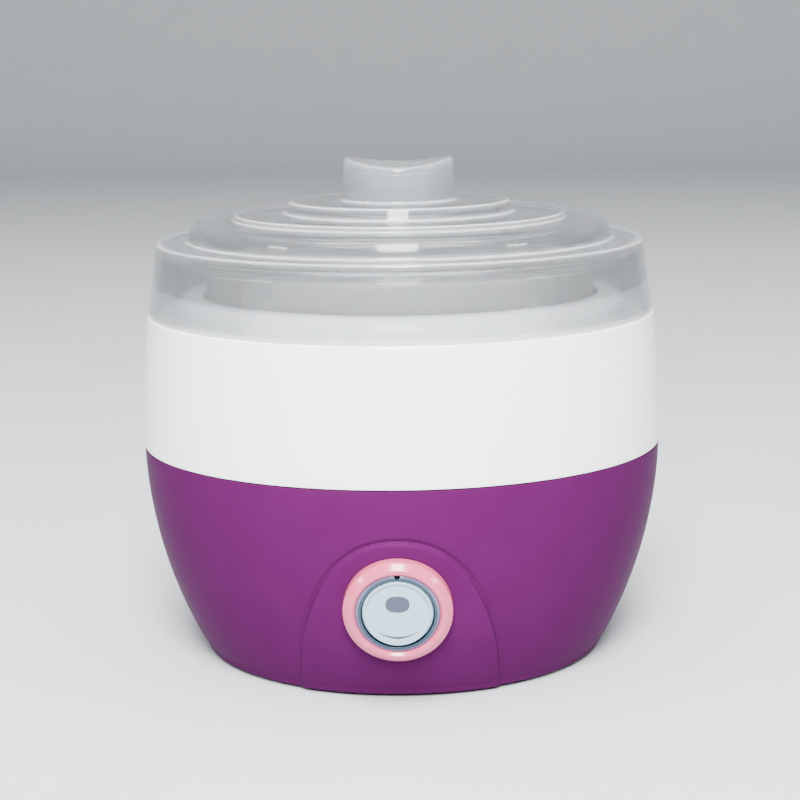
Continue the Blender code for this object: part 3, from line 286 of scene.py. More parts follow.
def arch_pad(angle, r, z):
    """Swells the outer skin inside the arch, and sinks a fine crease round its top.

    The arch is a superellipse in (sideways distance, height). Its level less 1, over the length of
    its gradient, is near enough the distance to the arch's edge in millimetres.
    """
    x = np.where(np.cos(angle) > 0, np.abs(r * np.sin(angle)), BARREL_RADIUS)
    level = (x / ARCH_HALF_WIDTH) ** ARCH_POWER + (np.maximum(z, 0) / ARCH_TOP) ** ARCH_POWER
    slope_x = ARCH_POWER * x ** (ARCH_POWER - 1) / ARCH_HALF_WIDTH**ARCH_POWER
    slope_z = ARCH_POWER * np.maximum(z, 0) ** (ARCH_POWER - 1) / ARCH_TOP**ARCH_POWER
    inside = (1 - level) / np.maximum(np.hypot(slope_x, slope_z), 1e-3)
    rise = np.clip(inside / PAD_EDGE + 0.5, 0, 1)
    rise = rise * rise * (3 - 2 * rise)
    crease = CREASE_DEPTH * np.exp(-(((inside + CREASE_OFFSET) / CREASE_SPREAD) ** 2))
    crease = crease * np.clip((z - CREASE_START) / CREASE_FADE, 0, 1)
    outer = r > barrel(z, SHELL_WALL * 0.2)
    return np.where(outer & (z < PARTING - PAD_STOP), r + pad_rise(z) * rise - crease, r), z


def panel_place():
    """The control's own axes: +X across, +Y up the panel, +Z straight out of it, from the pad's face."""
    face = on_wall(PANEL_HEIGHT)[0] + float(pad_rise(PANEL_HEIGHT))
    at = Matrix.Translation((0, -face * 0.001, PANEL_HEIGHT * 0.001))
    return at @ Matrix.Rotation(math.pi / 2 + PANEL_TILT, 4, "X")


def carved(mesh, cutters, operation="DIFFERENCE"):
    """The mesh with every cutter's shape taken out of it, or joined on to it."""
    body = bpy.data.objects.new(mesh.name, mesh)
    bpy.context.scene.collection.objects.link(body)
    helpers = []
    for cutter in cutters:
        helper = bpy.data.objects.new("cutter", cutter)
        bpy.context.scene.collection.objects.link(helper)
        step = body.modifiers.new("cut", "BOOLEAN")
        step.operation = operation
        step.solver = "EXACT"
        step.object = helper
        helpers.append(helper)
    finished = bpy.data.meshes.new_from_object(body.evaluated_get(bpy.context.evaluated_depsgraph_get()))
    for item in [body, *helpers]:
        bpy.data.objects.remove(item, do_unlink=True)
    finished.name = mesh.name
    finished.shade_smooth()
    finished.set_sharp_from_angle(angle=CREASE_ANGLE)
    return finished


def plug(radius, low, high, place=None, at=(0.0, 0.0)):
    """A plain cylinder for cutting a hole or recess, from low to high along its axis."""
    outline = np.array([(0, low), (radius, low), (radius, high), (0, high)], float)
    mesh = turned("plug", outline, full_turn(64))
    mesh.transform(Matrix.Translation((at[0] * 0.001, at[1] * 0.001, 0)))
    if place is not None:
        mesh.transform(place)
    return mesh


flat_radius = on_wall(BASE_UNDERSIDE + UNDER_ROUND)[0] - UNDER_ROUND
under_turn = np.linspace(0, UNDER_SWEEP, 6)
base_outline = np.vstack(
    [
        [(0, BASE_UNDERSIDE), (flat_radius - 0.2, BASE_UNDERSIDE)],
        np.column_stack(
            [
                flat_radius + UNDER_ROUND * np.sin(under_turn),
                BASE_UNDERSIDE + UNDER_ROUND - UNDER_ROUND * np.cos(under_turn),
            ]
        ),
        wall(BASE_UNDERSIDE + UNDER_ROUND, PARTING - 0.3, 150),
        softened(
            [
                on_wall(PARTING - PARTING_EDGE),
                on_wall(PARTING),
                (on_wall(PARTING, TONGUE_INSET)[0], PARTING),
                on_wall(PARTING + TONGUE_HEIGHT, TONGUE_INSET),
                on_wall(PARTING + TONGUE_HEIGHT, SHELL_WALL),
                on_wall(PARTING - PARTING_EDGE, SHELL_WALL),
            ],
            (0, 0.25, 0.2, 0.2, 0.2, 0),
            3,
        )[1:-1],
        wall(FLOOR_TOP, PARTING, 24, SHELL_WALL)[::-1],
        [(0, FLOOR_TOP)],
    ]
)
front_columns = np.linspace(-FRONT_SWEEP, FRONT_SWEEP, 300)
other_columns = np.linspace(FRONT_SWEEP, math.tau - FRONT_SWEEP, 112)[1:-1]
base_columns = np.concatenate([front_columns, other_columns])

panel = panel_place()
gland_at = (0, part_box("cord_gland")[1][1] - GLAND_REACH * 0.001, GLAND_HEIGHT * 0.001)
gland_place = Matrix.Translation(gland_at) @ Matrix.Rotation(-math.pi / 2, 4, "X")
foot_reach = (flat_radius - FOOT_INSET) * math.sqrt(0.5)
foot_spots = [(sx * foot_reach, sy * foot_reach) for sx in (-1, 1) for sy in (-1, 1)]
screw_spots = [(SCREW_REACH, 0), (0, SCREW_REACH), (-SCREW_REACH, 0), (0, -SCREW_REACH)]
panel_boss = plug(15.8, -6.2, -1.7, panel)
gland_boss = plug(10.0, -7.0, 0.0, gland_place)
sleeve_hole = plug(13.5, -20, 8, panel)
bezel_seat = plug(16.3, -1.7, 8, panel)
gland_seat = plug(7.9, 0, 12, gland_place)
gland_hole = plug(5.3, -12, 8, gland_place)
foot_seats = [plug(6.3, -1, 2.2, at=spot) for spot in foot_spots]
screw_holes = [plug(3.3, -1, 4.6, at=spot) for spot in screw_spots]
base_mesh = turned("base_shell", base_outline, base_columns, arch_pad)
base_mesh = carved(base_mesh, [panel_boss, gland_boss], "UNION")
base_mesh = carved(base_mesh, [sleeve_hole, bezel_seat, gland_seat, gland_hole, *foot_seats, *screw_holes])
satin_purple = moulded_plastic(
    "satin purple polypropylene", "#44113F", "#4B1546", (0.40, 0.46), IOR=1.49, Specular_IOR_Level=0.01
)
show(base_mesh, satin_purple, "housing", ["base_shell"])


# ---------------------------------------------------------------------------
# Upper housing. Outer wall, shoulder, neck and heated well in one moulding of white polypropylene,
# glossy from a polished tool. Its lower rim drops over the base shell's tongue.

SHOULDER = 109.0
NECK_TOP = 115.5
WELL_RADIUS = 61.5
MOUTH_RADIUS = 62.6
NECK_RADIUS = 71.6
NECK_INSIDE = 69.2
NECK_UNDERSIDE = 113.1
WELL_WALL = 2.2
WELL_FLOOR = 22.7
PLATE_OPENING = 36.0
STEP_TOP = 107.0
STEP_FOOT = 105.9
SHOULDER_UNDERSIDE = 106.6
SHOULDER_EDGE = 1.4
RIM_LAP = 3.8
RIM_INSET = 1.05

housing_inside = [
    (MOUTH_RADIUS, NECK_TOP),
    (MOUTH_RADIUS, STEP_TOP),
    (WELL_RADIUS, STEP_FOOT),
    (WELL_RADIUS, WELL_FLOOR),
    (PLATE_OPENING, WELL_FLOOR),
    (PLATE_OPENING, WELL_FLOOR - WELL_WALL),
    (WELL_RADIUS + WELL_WALL, WELL_FLOOR - WELL_WALL),
    (WELL_RADIUS + WELL_WALL, STEP_FOOT - WELL_WALL),
    (MOUTH_RADIUS + WELL_WALL, STEP_TOP - WELL_WALL),
    (MOUTH_RADIUS + WELL_WALL, NECK_UNDERSIDE),
    (NECK_INSIDE - 2.4, NECK_UNDERSIDE),
    (NECK_INSIDE, NECK_UNDERSIDE - 2.4),
    (NECK_INSIDE, SHOULDER_UNDERSIDE),
]
housing_outline = np.vstack(
    [
        wall(PARTING + 0.6, SHOULDER - 1.2, 60),
        softened(
            [
                on_wall(SHOULDER - SHOULDER_EDGE),
                on_wall(SHOULDER),
                (NECK_RADIUS, SHOULDER),
                (NECK_RADIUS, NECK_TOP),
                *housing_inside,
                on_wall(SHOULDER_UNDERSIDE, SHELL_WALL),
            ],
            (0, 0.7, 0.6, 4.8, 1.2, 0.8, 0.6, 1.0, 0.4, 0.4, 0.8, 0.4, 0.5, 0.6, 0.8, 0.8, 0.6, 0),
            6,
        )[1:],
        wall(PARTING + RIM_LAP, 105, 24, SHELL_WALL)[::-1],
        [
            on_wall(PARTING + RIM_LAP, RIM_INSET),
            on_wall(PARTING + 0.3, RIM_INSET),
            on_wall(PARTING + 0.3, 0.25),
            on_wall(PARTING + 0.4, 0.05),
        ],
    ]
)
gloss_white = moulded_plastic(
    "gloss white polypropylene",
    "#F1F1EE",
    "#F4F4F1",
    (0.20, 0.25),
    skin_depth=0.002,
    IOR=1.49,
    Subsurface_Weight=0.12,
    Subsurface_Scale=0.003,
)
housing_mesh = turned("upper_housing", housing_outline, full_turn(256))
show(housing_mesh, gloss_white, "housing", ["upper_housing"])


# ---------------------------------------------------------------------------
# Inner pot. Deep-drawn from thin stainless sheet and spun bright, so its wall carries very fine
# rings. The rim is rolled outwards for stiffness.

POT_FLOOR = 26.6
POT_SHEET = 0.7
POT_RIM = 123.6
POT_FOOT_RADIUS = 56.5
POT_RADIUS = 57.5
ROLL_SIZE = 2.0

pot_outline = np.vstack(
    [
        [(0, POT_FLOOR)],
        softened(
            [
                (30.0, POT_FLOOR),
                (POT_FOOT_RADIUS, POT_FLOOR),
                (POT_RADIUS, POT_RIM - ROLL_SIZE),
                (POT_RADIUS + ROLL_SIZE, POT_RIM - ROLL_SIZE),
                (POT_RADIUS + ROLL_SIZE, POT_RIM),
                (POT_RADIUS - POT_SHEET, POT_RIM),
                (POT_FOOT_RADIUS - POT_SHEET, POT_FLOOR + POT_SHEET),
                (30.0, POT_FLOOR + POT_SHEET),
            ],
            (0, 8.0, 0.3, 0.95, 0.95, 0.6, 7.4, 0),
            8,
        ),
        [(0, POT_FLOOR + POT_SHEET)],
    ]
)


def maths(tree, operation, first, second=0.0, third=0.0):
    """The result of one sum on values or other nodes' outputs."""
    return add(tree, "ShaderNodeMath", {0: first, 1: second, 2: third}, operation=operation).outputs["Value"]


def distance(tree, across, up):
    """The length of (across, up)."""
    squares = [maths(tree, "MULTIPLY", item, item) for item in (across, up)]
    return maths(tree, "SQRT", maths(tree, "ADD", *squares))


# The spinning tool leaves rings a few tenths of a millimetre apart, which draw each reflection out
# up and down the wall.
spun_steel, tree, shader = surface("spun stainless steel", Metallic=1.0, Roughness=0.24, Anisotropic=0.5)
place = add(tree, "ShaderNodeTexCoord").outputs["Object"]
parts = add(tree, "ShaderNodeSeparateXYZ", {"Vector": place}).outputs
section = add(tree, "ShaderNodeCombineXYZ", {"X": distance(tree, parts["X"], parts["Y"]), "Z": parts["Z"]})
rings = noise(tree, 0.5, 3.0, section.outputs["Vector"])
tree.links.new(mixed(tree, rings, "#B9B5AF", "#D2CFCA"), shader.inputs["Base Color"])
tree.links.new(relief(tree, rings, 0.3, 0.01), shader.inputs["Normal"])
show(turned("inner_pot", pot_outline), spun_steel, "pot", ["inner_pot"])


# ---------------------------------------------------------------------------
# Inner lid. A soft snap-on cap in natural polypropylene, milky and slightly see-through. Its sunk
# centre has a bar across it for two fingers.

CAP_TOP = 125.5
CAP_RADIUS = 61.6
CAP_BORE = 60.0
CAP_WALL = 1.6
PLUG_RADIUS = 56.3
DISH = CAP_TOP - 7.0
CAP_SKIRT = 13.5
BAR_LENGTH = 42.0
BAR_WIDTH = 5.0
BAR_HEIGHT = 5.8

cap_outline = np.vstack(
    [
        [(0, DISH - CAP_WALL)],
        softened(
            [
                (20.0, DISH - CAP_WALL),
                (PLUG_RADIUS, DISH - CAP_WALL),
                (PLUG_RADIUS, CAP_TOP - CAP_WALL),
                (CAP_BORE, CAP_TOP - CAP_WALL),
                (CAP_BORE, CAP_TOP - CAP_SKIRT),
                (CAP_RADIUS, CAP_TOP - CAP_SKIRT),
                (CAP_RADIUS, CAP_TOP),
                (PLUG_RADIUS - CAP_WALL, CAP_TOP),
                (PLUG_RADIUS - CAP_WALL, DISH),
                (20.0, DISH),
            ],
            (0, 0.8, 0.3, 0.6, 0.4, 0.5, 2.4, 0.8, 1.2, 0),
            6,
        ),
        [(0, DISH)],
    ]
)


def finger_bar(length, width, low, high, edge):
    """A bar whose plan is a slot with round ends and whose top edge is a quarter round.

    The plan's half width and the inset of each ring follow the quarter circle of the edge.
    """
    turn = full_turn(96)
    rise = np.linspace(0, math.pi / 2, 7)
    inset = np.concatenate([[0], edge * (1 - np.cos(rise))])
    height = np.concatenate([[low], high - edge + edge * np.sin(rise)])
    straight = (length - width) / 2 * np.sign(np.cos(turn))
    half = width / 2 - inset[:, None]
    x = straight + half * np.cos(turn)
    y = half * np.sin(turn)
    z = np.repeat(height[:, None], len(turn), 1)
    grid = np.stack([x, y, z], -1).reshape(-1, 3)
    rows, columns = len(height), len(turn)
    index = np.arange(rows * columns).reshape(rows, columns)
    faces = np.stack([index[:-1], np.roll(index[:-1], -1, 1), np.roll(index[1:], -1, 1), index[1:]], -1)
    mesh = bpy.data.meshes.new("finger_bar")
    ends = [index[0][::-1].tolist(), index[-1].tolist()]
    mesh.from_pydata(grid * 0.001, [], [*faces.reshape(-1, 4).tolist(), *ends])
    return mesh


# Unfilled polypropylene scatters light inside its wall, so the cap looks milky and its edges soft.
milky, tree, shader = surface(
    "natural polypropylene",
    Roughness=0.34,
    IOR=1.49,
    Transmission_Weight=0.35,
    Subsurface_Weight=0.35,
    Subsurface_Scale=0.004,
)
# The base colour is a grey well below the cap's milky white: painted shade for the cap's place in the dark
# under the outer lid.
tree.links.new(mixed(tree, noise(tree, 9.0, 4.0), "#BBB9B3", "#C7C5BF"), shader.inputs["Base Color"])
cap_bar = finger_bar(BAR_LENGTH, BAR_WIDTH, DISH - 0.8, DISH + BAR_HEIGHT, 1.2)
cap_mesh = carved(turned("inner_lid", cap_outline), [cap_bar], "UNION")
show(cap_mesh, milky, "pot_lid", ["inner_lid"])


# ---------------------------------------------------------------------------
# Outer lid. One clear moulding of even wall: a drafted skirt, three steps and a hollow finger knob.
# Its top is scooped from side to side, and it sits loose on the housing's shoulder.

LID_FOOT = 109.3
LID_WALL = 2.2
FLANGE = 131.9
FIRST_STEP, SECOND_STEP, THIRD_STEP = 138.4, 140.2, 144.0
KNOB_TOP = 157.5
SCOOP = 2.3
SCOOP_HALF_LENGTH = 16.2
SCOOP_FADE_START = 146.0
LID_COLUMNS = 256
# Width of the painted highlight along each of the lid's edges, and its weaker share over the knob.
EDGE_HIGHLIGHT_WIDTH = 0.7
KNOB_HIGHLIGHT = 0.22
KNOB_FOOT = 144.5

skirt_foot = on_wall(SHOULDER)[0] - 0.3
skirt_head = skirt_foot - 3.3
lid_outside = [
    (skirt_foot, LID_FOOT),
    (skirt_head, FLANGE),
    (67.2, FLANGE),
    (65.8, FIRST_STEP),
    (52.4, FIRST_STEP),
    (52.4, SECOND_STEP),
    (36.2, SECOND_STEP),
    (34.9, THIRD_STEP),
    (18.15, THIRD_STEP),
    (17.35, KNOB_TOP),
]
lid_inside = [(r - LID_WALL, z - LID_WALL) for r, z in lid_outside[:0:-1]]
lid_outline = np.vstack(
    [
        softened(
            [(0, LID_FOOT), *lid_outside, (13.0, KNOB_TOP)],
            (0, 0.35, 1.0, 0.8, 4.2, 0.5, 0.5, 0.7, 1.0, 0.7, 1.5, 0),
            7,
        )[1:],
        np.column_stack([np.linspace(12.0, 0, 12), np.full(12, KNOB_TOP)]),
    ]
)
knob_ceiling = KNOB_TOP - LID_WALL
lid_lining = np.vstack(
    [
        np.column_stack([np.linspace(0, 11.0, 10), np.full(10, knob_ceiling)]),
        softened(
            [(11.5, knob_ceiling), *lid_inside, (skirt_foot - LID_WALL, LID_FOOT), (0, LID_FOOT)],
            (0, 1.2, 1.6, 1.6, 0.8, 0.6, 0.6, 3.0, 1.2, 4.8, 0.35, 0),
            7,
        )[:-1],
    ]
)


def scooped(angle, r, z):
    """Lowers the knob's top along a shallow trough across X, fading out down the knob's wall."""
    x = r * np.sin(angle)
    dip = SCOOP * np.clip(1 - (x / SCOOP_HALF_LENGTH) ** 2, 0, 1)
    share = np.clip((z - SCOOP_FADE_START) / (knob_ceiling - SCOOP_FADE_START), 0, 1)
    return r, z - dip * share * share


def filled(outline, step):
    """The outline with points added along each straight run, no further apart than the step."""
    spans = np.hypot(*np.diff(outline, axis=0).T)
    counts = np.maximum(np.ceil(spans / step).astype(int), 1)
    owner = np.repeat(np.arange(len(counts)), counts)
    share = (np.arange(counts.sum()) - np.repeat(np.cumsum(counts) - counts, counts)) / counts[owner]
    points = outline[owner] + (outline[owner + 1] - outline[owner]) * share[:, None]
    return np.vstack([points, outline[-1:]])


def painted_highlight_of(rings):
    """How much painted highlight each ring of the section gets: 1 at a moulded corner, falling off as a bell,
    and a weaker even share over the knob.
    """
    corners = np.array([*lid_outside[1:], lid_outside[0]])
    away = np.hypot(rings[:, :1] - corners[:, 0], rings[:, 1:] - corners[:, 1]).min(1)
    return np.maximum(np.exp(-((away / EDGE_HIGHLIGHT_WIDTH) ** 2)), KNOB_HIGHLIGHT * (rings[:, 1] > KNOB_FOOT))


lid_section = np.vstack([lid_lining, filled(lid_outline, 0.9)])
lid_mesh = turned("outer_lid", lid_section, full_turn(LID_COLUMNS), scooped)
# Painted highlight: a per-point share, 1 along the edges, that the lid's shader turns white.
painted_highlight = np.append(np.repeat(painted_highlight_of(lid_section[1:-1]), LID_COLUMNS), [KNOB_HIGHLIGHT, KNOB_HIGHLIGHT])
lid_mesh.attributes.new("painted_highlight", "FLOAT", "POINT").data.foreach_set("value", painted_highlight.astype(np.float32))

# Clear styrene with a faint waviness from the melt's flow. Along every moulded corner, and more weakly over
# the knob, it is painted white and made less clear: a painted highlight that draws a pale line along every
# edge.
clear_plastic, tree, shader = surface("clear polished polystyrene", IOR=1.52, Alpha=0.62)
haze = noise(tree, 22.0, 2.0)
tree.links.new(ranged(tree, haze, 0.05, 0.10), shader.inputs["Roughness"])
tree.links.new(relief(tree, haze, 0.15, 0.1), shader.inputs["Normal"])
highlight_share = add(tree, "ShaderNodeAttribute", attribute_name="painted_highlight").outputs["Fac"]
tree.links.new(ranged(tree, highlight_share, 0.97, 0.35), shader.inputs["Transmission Weight"])
tree.links.new(mixed(tree, highlight_share, "#D3DAE2", "#FFFFFF"), shader.inputs["Base Color"])
show(lid_mesh, clear_plastic, "cover", ["outer_lid"])


# ---------------------------------------------------------------------------
# Bezel. A pink glossy ABS ring with a rounded face. Its sleeve goes through the base's wall and
# holds the light ring.

bezel_outline = softened(
    [
        (12.4, -5.0),
        (13.2, -5.0),
        (13.2, -1.4),
        (16.1, -1.4),
        (16.1, 1.9),
        (14.2, 4.0),
        (13.2, 4.0),
        (12.4, 3.2),
    ],
    (0.1, 0.1, 0.1, 0.1, 1.3, 1.7, 0.3, 0.3),
    6,
)
pink_abs = moulded_plastic(
    "gloss pink ABS",
    "#BC4F6E",
    "#C45877",
    (0.16, 0.22),
    skin_depth=0.001,
    IOR=1.54,
    Subsurface_Weight=0.1,
    Subsurface_Scale=0.002,
)
show(turned("bezel", bezel_outline, place=panel), pink_abs, "housing", ["bezel"])


# ---------------------------------------------------------------------------
# Light ring. Tinted polycarbonate that carries the LED's light round the button. A notch at the top
# shows where it is keyed into the bezel.

FACE_SPAN = 24.0
# Radii over which the painted band of shade at the ring's outer edge fades in.
SHADE_BAND_FROM, SHADE_BAND_TO = 11.5, 11.8

ring_outline = softened(
    [(10.7, -3.6), (12.3, -3.6), (12.3, 2.8), (11.6, 3.2), (10.7, 3.2)], (0.1, 0.1, 0.2, 0.3, 0.15), 4
)


def face_map(mesh):
    """Adds a UV map with the panel's axis at its centre, FACE_SPAN millimetres across and up."""
    layer = mesh.uv_layers.new(name="face")
    corners = np.zeros(len(mesh.loops), dtype=np.int32)
    mesh.loops.foreach_get("vertex_index", corners)
    points = np.zeros(len(mesh.vertices) * 3)
    mesh.vertices.foreach_get("co", points)
    points = np.column_stack([points.reshape(-1, 3), np.ones(len(mesh.vertices))])
    local = (points @ np.array(panel.inverted()).T) * 1000
    layer.data.foreach_set("uv", (local[corners, :2] / FACE_SPAN + 0.5).ravel())


def panel_axes(tree):
    """Millimetres across and up the panel, read back from the face map."""
    mapped = add(tree, "ShaderNodeUVMap", uv_map="face").outputs["UV"]
    shift, scale = (-FACE_SPAN / 2, -FACE_SPAN / 2, 0), (FACE_SPAN, FACE_SPAN, 1)
    spot = add(tree, "ShaderNodeMapping", {"Vector": mapped, "Location": shift, "Scale": scale})
    spread = add(tree, "ShaderNodeSeparateXYZ", {"Vector": spot.outputs["Vector"]})
    return spread.outputs["X"], spread.outputs["Y"]


def wedge(width, height, low, high, top):
    """A three-sided cutter that points down the panel from its top edge."""
    corners = np.array([(-width / 2, top), (0.0, top - height), (width / 2, top)])
    grid = np.vstack([np.column_stack([corners, np.full(3, level)]) for level in (low, high)])
    faces = [(2, 1, 0), (3, 4, 5), (0, 1, 4, 3), (1, 2, 5, 4), (2, 0, 3, 5)]
    mesh = bpy.data.meshes.new("wedge")
    mesh.from_pydata(grid * 0.001, [], faces)
    mesh.transform(panel)
    return mesh


# Tinted through and slightly clear. A pale lavender band is painted round its outer edge: painted shade that
# stands in for the bezel's inner wall in shadow, and reads as a thin lavender line round the dark ring.
tinted, tree, shader = surface("tinted polycarbonate", Roughness=0.14, IOR=1.58, Transmission_Weight=0.25)
body_tint = mixed(tree, noise(tree, 4.0, 2.0), "#1D3547", "#264256")
from_axis = {"Value": distance(tree, *panel_axes(tree)), "From Min": SHADE_BAND_FROM, "From Max": SHADE_BAND_TO}
shade_band = add(tree, "ShaderNodeMapRange", from_axis).outputs["Result"]
tree.links.new(mixed(tree, shade_band, body_tint, "#77779A"), shader.inputs["Base Color"])
notch = wedge(3.6, 2.6, 0.4, 6.0, 13.2)
ring_mesh = carved(turned("light_ring", ring_outline, place=panel), [notch])
face_map(ring_mesh)
show(ring_mesh, tinted, "housing", ["light_ring"])


# ---------------------------------------------------------------------------
# Start button. Pale grey ABS with a slightly domed face, a flange that keeps it in and a stem that
# meets the switch. A plain oval and an arc are pad-printed on its face.

BUTTON_RADIUS = 10.4
BUTTON_FACE = 4.4
DOME_RISE = 0.3
STEM_END = -5.9
OVAL_HALF_WIDTH, OVAL_HALF_HEIGHT, OVAL_CENTRE, OVAL_POWER = 3.5, 2.6, 3.9, 2.4
ARC_CURVE, ARC_LOW, ARC_HALF_LENGTH = 0.056, 6.9, 5.9
ARC_HALF_LINE, ARC_TAPER = 0.40, 0.050

button_profile = softened(
    [
        (2.5, STEM_END),
        (2.5, 2.8),
        (8.8, 2.8),
        (8.8, -4.9),
        (11.9, -4.9),
        (11.9, -3.9),
        (BUTTON_RADIUS, -3.9),
        (BUTTON_RADIUS, BUTTON_FACE),
    ],
    (0.3, 0.4, 0.4, 0.2, 0.2, 0.2, 0.3, 0.7),
    5,
)
dome = np.linspace(BUTTON_RADIUS - 1.0, 0, 14)
dome_height = BUTTON_FACE + DOME_RISE * (1 - (dome / BUTTON_RADIUS) ** 2)
button_outline = np.vstack([[(0, STEM_END)], button_profile[:-1], np.column_stack([dome, dome_height])])
button_mesh = turned("start_button", button_outline, place=panel)
face_map(button_mesh)


def print_marks(tree):
    """1 inside the printed oval, a superellipse, or on the arc, a parabola that tapers to its ends."""
    across, up = panel_axes(tree)
    sideways = maths(tree, "ABSOLUTE", across)
    lift = maths(tree, "ABSOLUTE", maths(tree, "SUBTRACT", up, OVAL_CENTRE))
    oval_x = maths(tree, "POWER", maths(tree, "DIVIDE", sideways, OVAL_HALF_WIDTH), OVAL_POWER)
    oval_y = maths(tree, "POWER", maths(tree, "DIVIDE", lift, OVAL_HALF_HEIGHT), OVAL_POWER)
    oval = maths(tree, "LESS_THAN", maths(tree, "ADD", oval_x, oval_y), 1.0)
    bend = maths(tree, "MULTIPLY", maths(tree, "MULTIPLY", across, across), ARC_CURVE)
    off = maths(tree, "ABSOLUTE", maths(tree, "SUBTRACT", up, maths(tree, "SUBTRACT", bend, ARC_LOW)))
    half = maths(tree, "SUBTRACT", ARC_HALF_LINE, maths(tree, "MULTIPLY", sideways, ARC_TAPER))
    on_line = maths(tree, "LESS_THAN", off, half)
    on_length = maths(tree, "LESS_THAN", sideways, ARC_HALF_LENGTH)
    return maths(tree, "MAXIMUM", oval, maths(tree, "MULTIPLY", on_line, on_length))


# Smooth ABS, slightly uneven in tone, with flat slate-coloured ink that has no thickness to see.
printed, tree, shader = surface("pale grey ABS with pad print", Roughness=0.28, IOR=1.54)
ground = mixed(tree, noise(tree, 6.0, 3.0), "#93A9BC", "#9DB3C5")
tree.links.new(mixed(tree, print_marks(tree), ground, "#3A3E50"), shader.inputs["Base Color"])
show(button_mesh, printed, "button", ["start_button"])


# ---------------------------------------------------------------------------
# Switch board. A green glass-epoxy board behind the button, with a push switch, an LED and a
# resistor. Two screws hold it on the base's bosses.


def finish_nodes(material, *names):
    """Gives CAD nodes that keep their shape a finished material."""
    for name in names:
        item = nodes[name]
        item.data.materials.clear()
        item.data.materials.append(material)


# Solder mask follows the glass weave below it, so its green is uneven at a millimetre's scale.
board_green = moulded_plastic(
    "green solder mask on glass epoxy", "#0B4A22", "#11602E", (0.2, 0.35), patch_mm=1.2, skin_mm=0.4
)
black_nylon = moulded_plastic(
    "black nylon", "#111214", "#1A1B1D", (0.35, 0.5), patch_mm=2.0, skin_mm=0.2
)
# Cast epoxy is nearly polished, and it lets the light into its red body.
red_epoxy = moulded_plastic(
    "red LED epoxy", "#A30D0D", "#C01616", (0.05, 0.1), patch_mm=2.0, Transmission_Weight=0.4
)
natural_nylon = moulded_plastic(
    "natural nylon", "#DAD5C4", "#E6E2D3", (0.35, 0.5), patch_mm=4.0, skin_mm=0.4
)
finish_nodes(board_green, "indicator_board")
finish_nodes(black_nylon, "push_switch", "switch_plunger")
finish_nodes(red_epoxy, "led")
finish_nodes(natural_nylon, "resistor", "terminal_block")


# ---------------------------------------------------------------------------
# Heater group. An aluminium plate sits on a silicone ring in the well's floor. Under it a strap
# holds the ceramic heater, and a clip holds the sleeved thermal fuse.


def rolled_metal(name, low, high, roughness, stretch, grain_mm):
    """Rolled or plated sheet: fine straight lines from the rolls break the reflection one way."""
    material, tree, shader = surface(name, Metallic=1.0, Roughness=roughness)
    place = add(tree, "ShaderNodeTexCoord").outputs["Object"]
    drawn = add(tree, "ShaderNodeMapping", {"Vector": place, "Scale": stretch})
    lines = noise(tree, grain_mm, 3.0, drawn.outputs["Vector"])
    tree.links.new(mixed(tree, lines, low, high), shader.inputs["Base Color"])
    tree.links.new(relief(tree, lines, 0.2, 0.01), shader.inputs["Normal"])
    return material


aluminium = rolled_metal("rolled aluminium sheet", "#BFC1C3", "#D6D8DA", 0.32, (0.05, 1, 1), 0.5)
zinc = rolled_metal("bright zinc plate on steel", "#A9AAA6", "#C6C7C2", 0.3, (1, 1, 0.3), 0.8)
white_silicone = moulded_plastic(
    "white silicone rubber", "#DAD6CE", "#E6E3DC", (0.5, 0.6), patch_mm=6.0
)
# Fired and woven surfaces are rough enough to show no reflection, only their grain.
ceramic = moulded_plastic(
    "fired heater ceramic",
    "#B3A78F",
    "#C8BDA6",
    (0.55, 0.7),
    patch_mm=1.0,
    skin_mm=0.3,
    skin_depth=0.02,
)
glass_sleeve = moulded_plastic(
    "woven glass-fibre sleeve",
    "#D8D2BE",
    "#EDE9DA",
    (0.75, 0.9),
    patch_mm=0.6,
    skin_mm=0.4,
    skin_depth=0.08,
)
screws = [name for name in nodes if "_screw_" in name]
finish_nodes(aluminium, "heater_plate")
finish_nodes(zinc, "heater_clamp", "fuse_clip", "clip_screw", *screws)
finish_nodes(white_silicone, "plate_seal")
finish_nodes(ceramic, "ptc_heater")
finish_nodes(glass_sleeve, "thermal_fuse")


# ---------------------------------------------------------------------------
# Wires, gland and feet. Silicone-insulated wires run from the terminal block, and a black rubber
# gland and feet are pushed into their seats.

wires = [name for name in nodes if name.startswith("wire_")]
feet = [name for name in nodes if name.startswith("foot_")]
wire_red = moulded_plastic("red silicone insulation", "#8E1B14", "#A3241B", (0.4, 0.5), patch_mm=3.0)
# Rubber from a blasted mould: nearly black, with a dull broken sheen along its edges.
black_rubber = moulded_plastic(
    "moulded black rubber",
    "#141414",
    "#1F1F1F",
    (0.6, 0.75),
    patch_mm=3.0,
    skin_mm=0.5,
    skin_depth=0.02,
)
finish_nodes(wire_red, *wires)
finish_nodes(black_rubber, "cord_gland", *feet)


# ---------------------------------------------------------------------------
# Studio. A pale paper floor that curves up into a backdrop, a tall soft box at the front, a wide one
# overhead, a long strip above that lights the lid's edges, and a small box at each side for the
# marks on its shoulders.

CAMERA_LENS = 96.4
CAMERA_AT = (-0.00045, -0.681, 0.201)
CAMERA_DIP = 0.177
CAMERA_SWING = 0.0235
CAMERA_ROLL = -0.013


def sweep(half_width, near, far, height, bend):
    """A floor that runs back and turns up into a wall along a quarter circle."""
    turn = np.linspace(0, math.pi / 2, 24)
    back = np.concatenate([[near, far - bend], far - bend + bend * np.sin(turn), [far]])
    rise = np.concatenate([[0, 0], bend - bend * np.cos(turn), [height]])
    count = len(back)
    sides = (-half_width, half_width)
    grid = np.vstack([np.column_stack([np.full(count, side), back, rise]) for side in sides])
    index = np.arange(count)
    faces = np.stack([index[:-1], index[:-1] + count, index[1:] + count, index[1:]], -1)
    mesh = bpy.data.meshes.new("backdrop")
    mesh.from_pydata(grid, [], faces.tolist())
    mesh.shade_smooth()
    return mesh


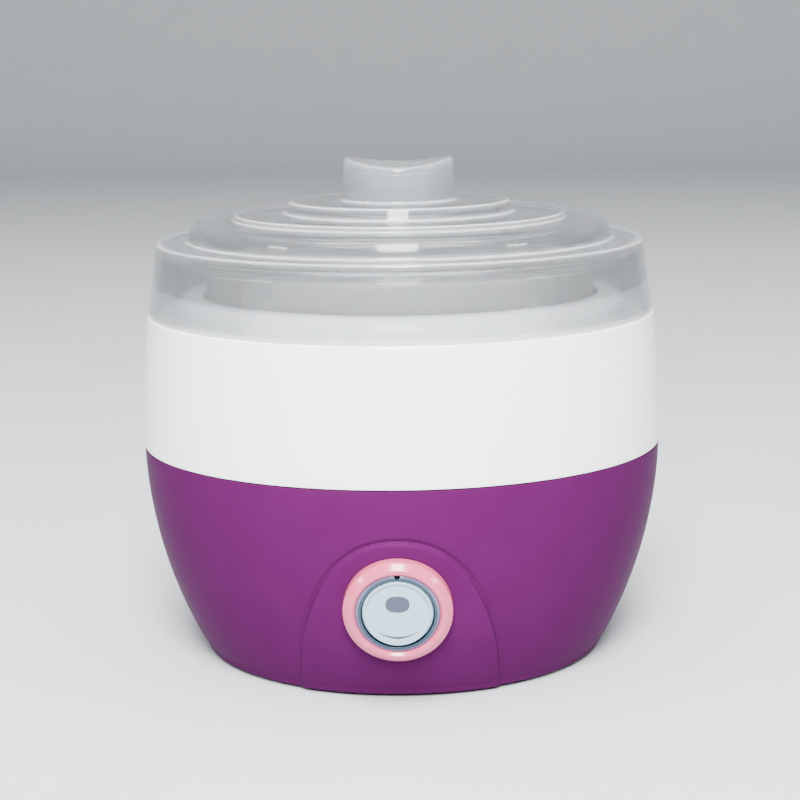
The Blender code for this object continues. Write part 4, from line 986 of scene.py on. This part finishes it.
backdrop = bpy.data.objects.new("backdrop", sweep(4.0, -2.5, 3.2, 4.0, 1.0))
bpy.context.scene.collection.objects.link(backdrop)
paper, tree, shader = surface("pale backdrop paper", Roughness=0.85)
tree.links.new(mixed(tree, noise(tree, 40.0, 4.0), "#C2C6CA", "#C9CDD1"), shader.inputs["Base Color"])
backdrop.data.materials.append(paper)


def soft_box(name, at, towards, size, power):
    """A rectangular soft light that faces a point."""
    lamp = bpy.data.lights.new(name, "AREA")
    lamp.shape = "RECTANGLE"
    lamp.size, lamp.size_y = size
    lamp.energy = power
    item = bpy.data.objects.new(name, lamp)
    aim = (np.array(at) - np.array(towards)).astype(float)
    level = math.hypot(aim[0], aim[1])
    item.rotation_euler = (math.atan2(level, aim[2]), 0, math.atan2(aim[0], -aim[1]))
    item.location = at
    bpy.context.scene.collection.objects.link(item)


soft_box("front_box", (0.0, -1.3, 1.2), (0, 0, 0.08), (0.55, 1.2), 148)
soft_box("top_box", (0.0, 0.2, 1.6), (0, 0, 0.1), (1.2, 1.0), 18)
soft_box("edge_strip", (0.0, -0.5, 1.5), (0, 0, 0.13), (1.7, 0.10), 16)
soft_box("left_box", (-1.7, -0.7, 0.75), (0, 0, 0.1), (0.40, 0.20), 8)
soft_box("right_box", (1.7, -0.7, 0.75), (0, 0, 0.1), (0.40, 0.20), 8)

world = bpy.data.worlds.new("studio")
world.use_nodes = True
world.node_tree.nodes["Background"].inputs["Color"].default_value = linear("#DDE2E6")
world.node_tree.nodes["Background"].inputs["Strength"].default_value = 0.10
bpy.context.scene.world = world

camera = bpy.data.objects.new("camera", bpy.data.cameras.new("camera"))
camera.data.sensor_width = 36.0
camera.data.lens = CAMERA_LENS
camera.data.clip_start = 0.01
camera.matrix_world = (
    Matrix.Rotation(CAMERA_SWING, 4, "Z")
    @ Matrix.Translation(CAMERA_AT)
    @ Matrix.Rotation(math.pi / 2 - CAMERA_DIP, 4, "X")
    @ Matrix.Rotation(CAMERA_ROLL, 4, "Z")
)
bpy.context.scene.collection.objects.link(camera)
bpy.context.scene.camera = camera
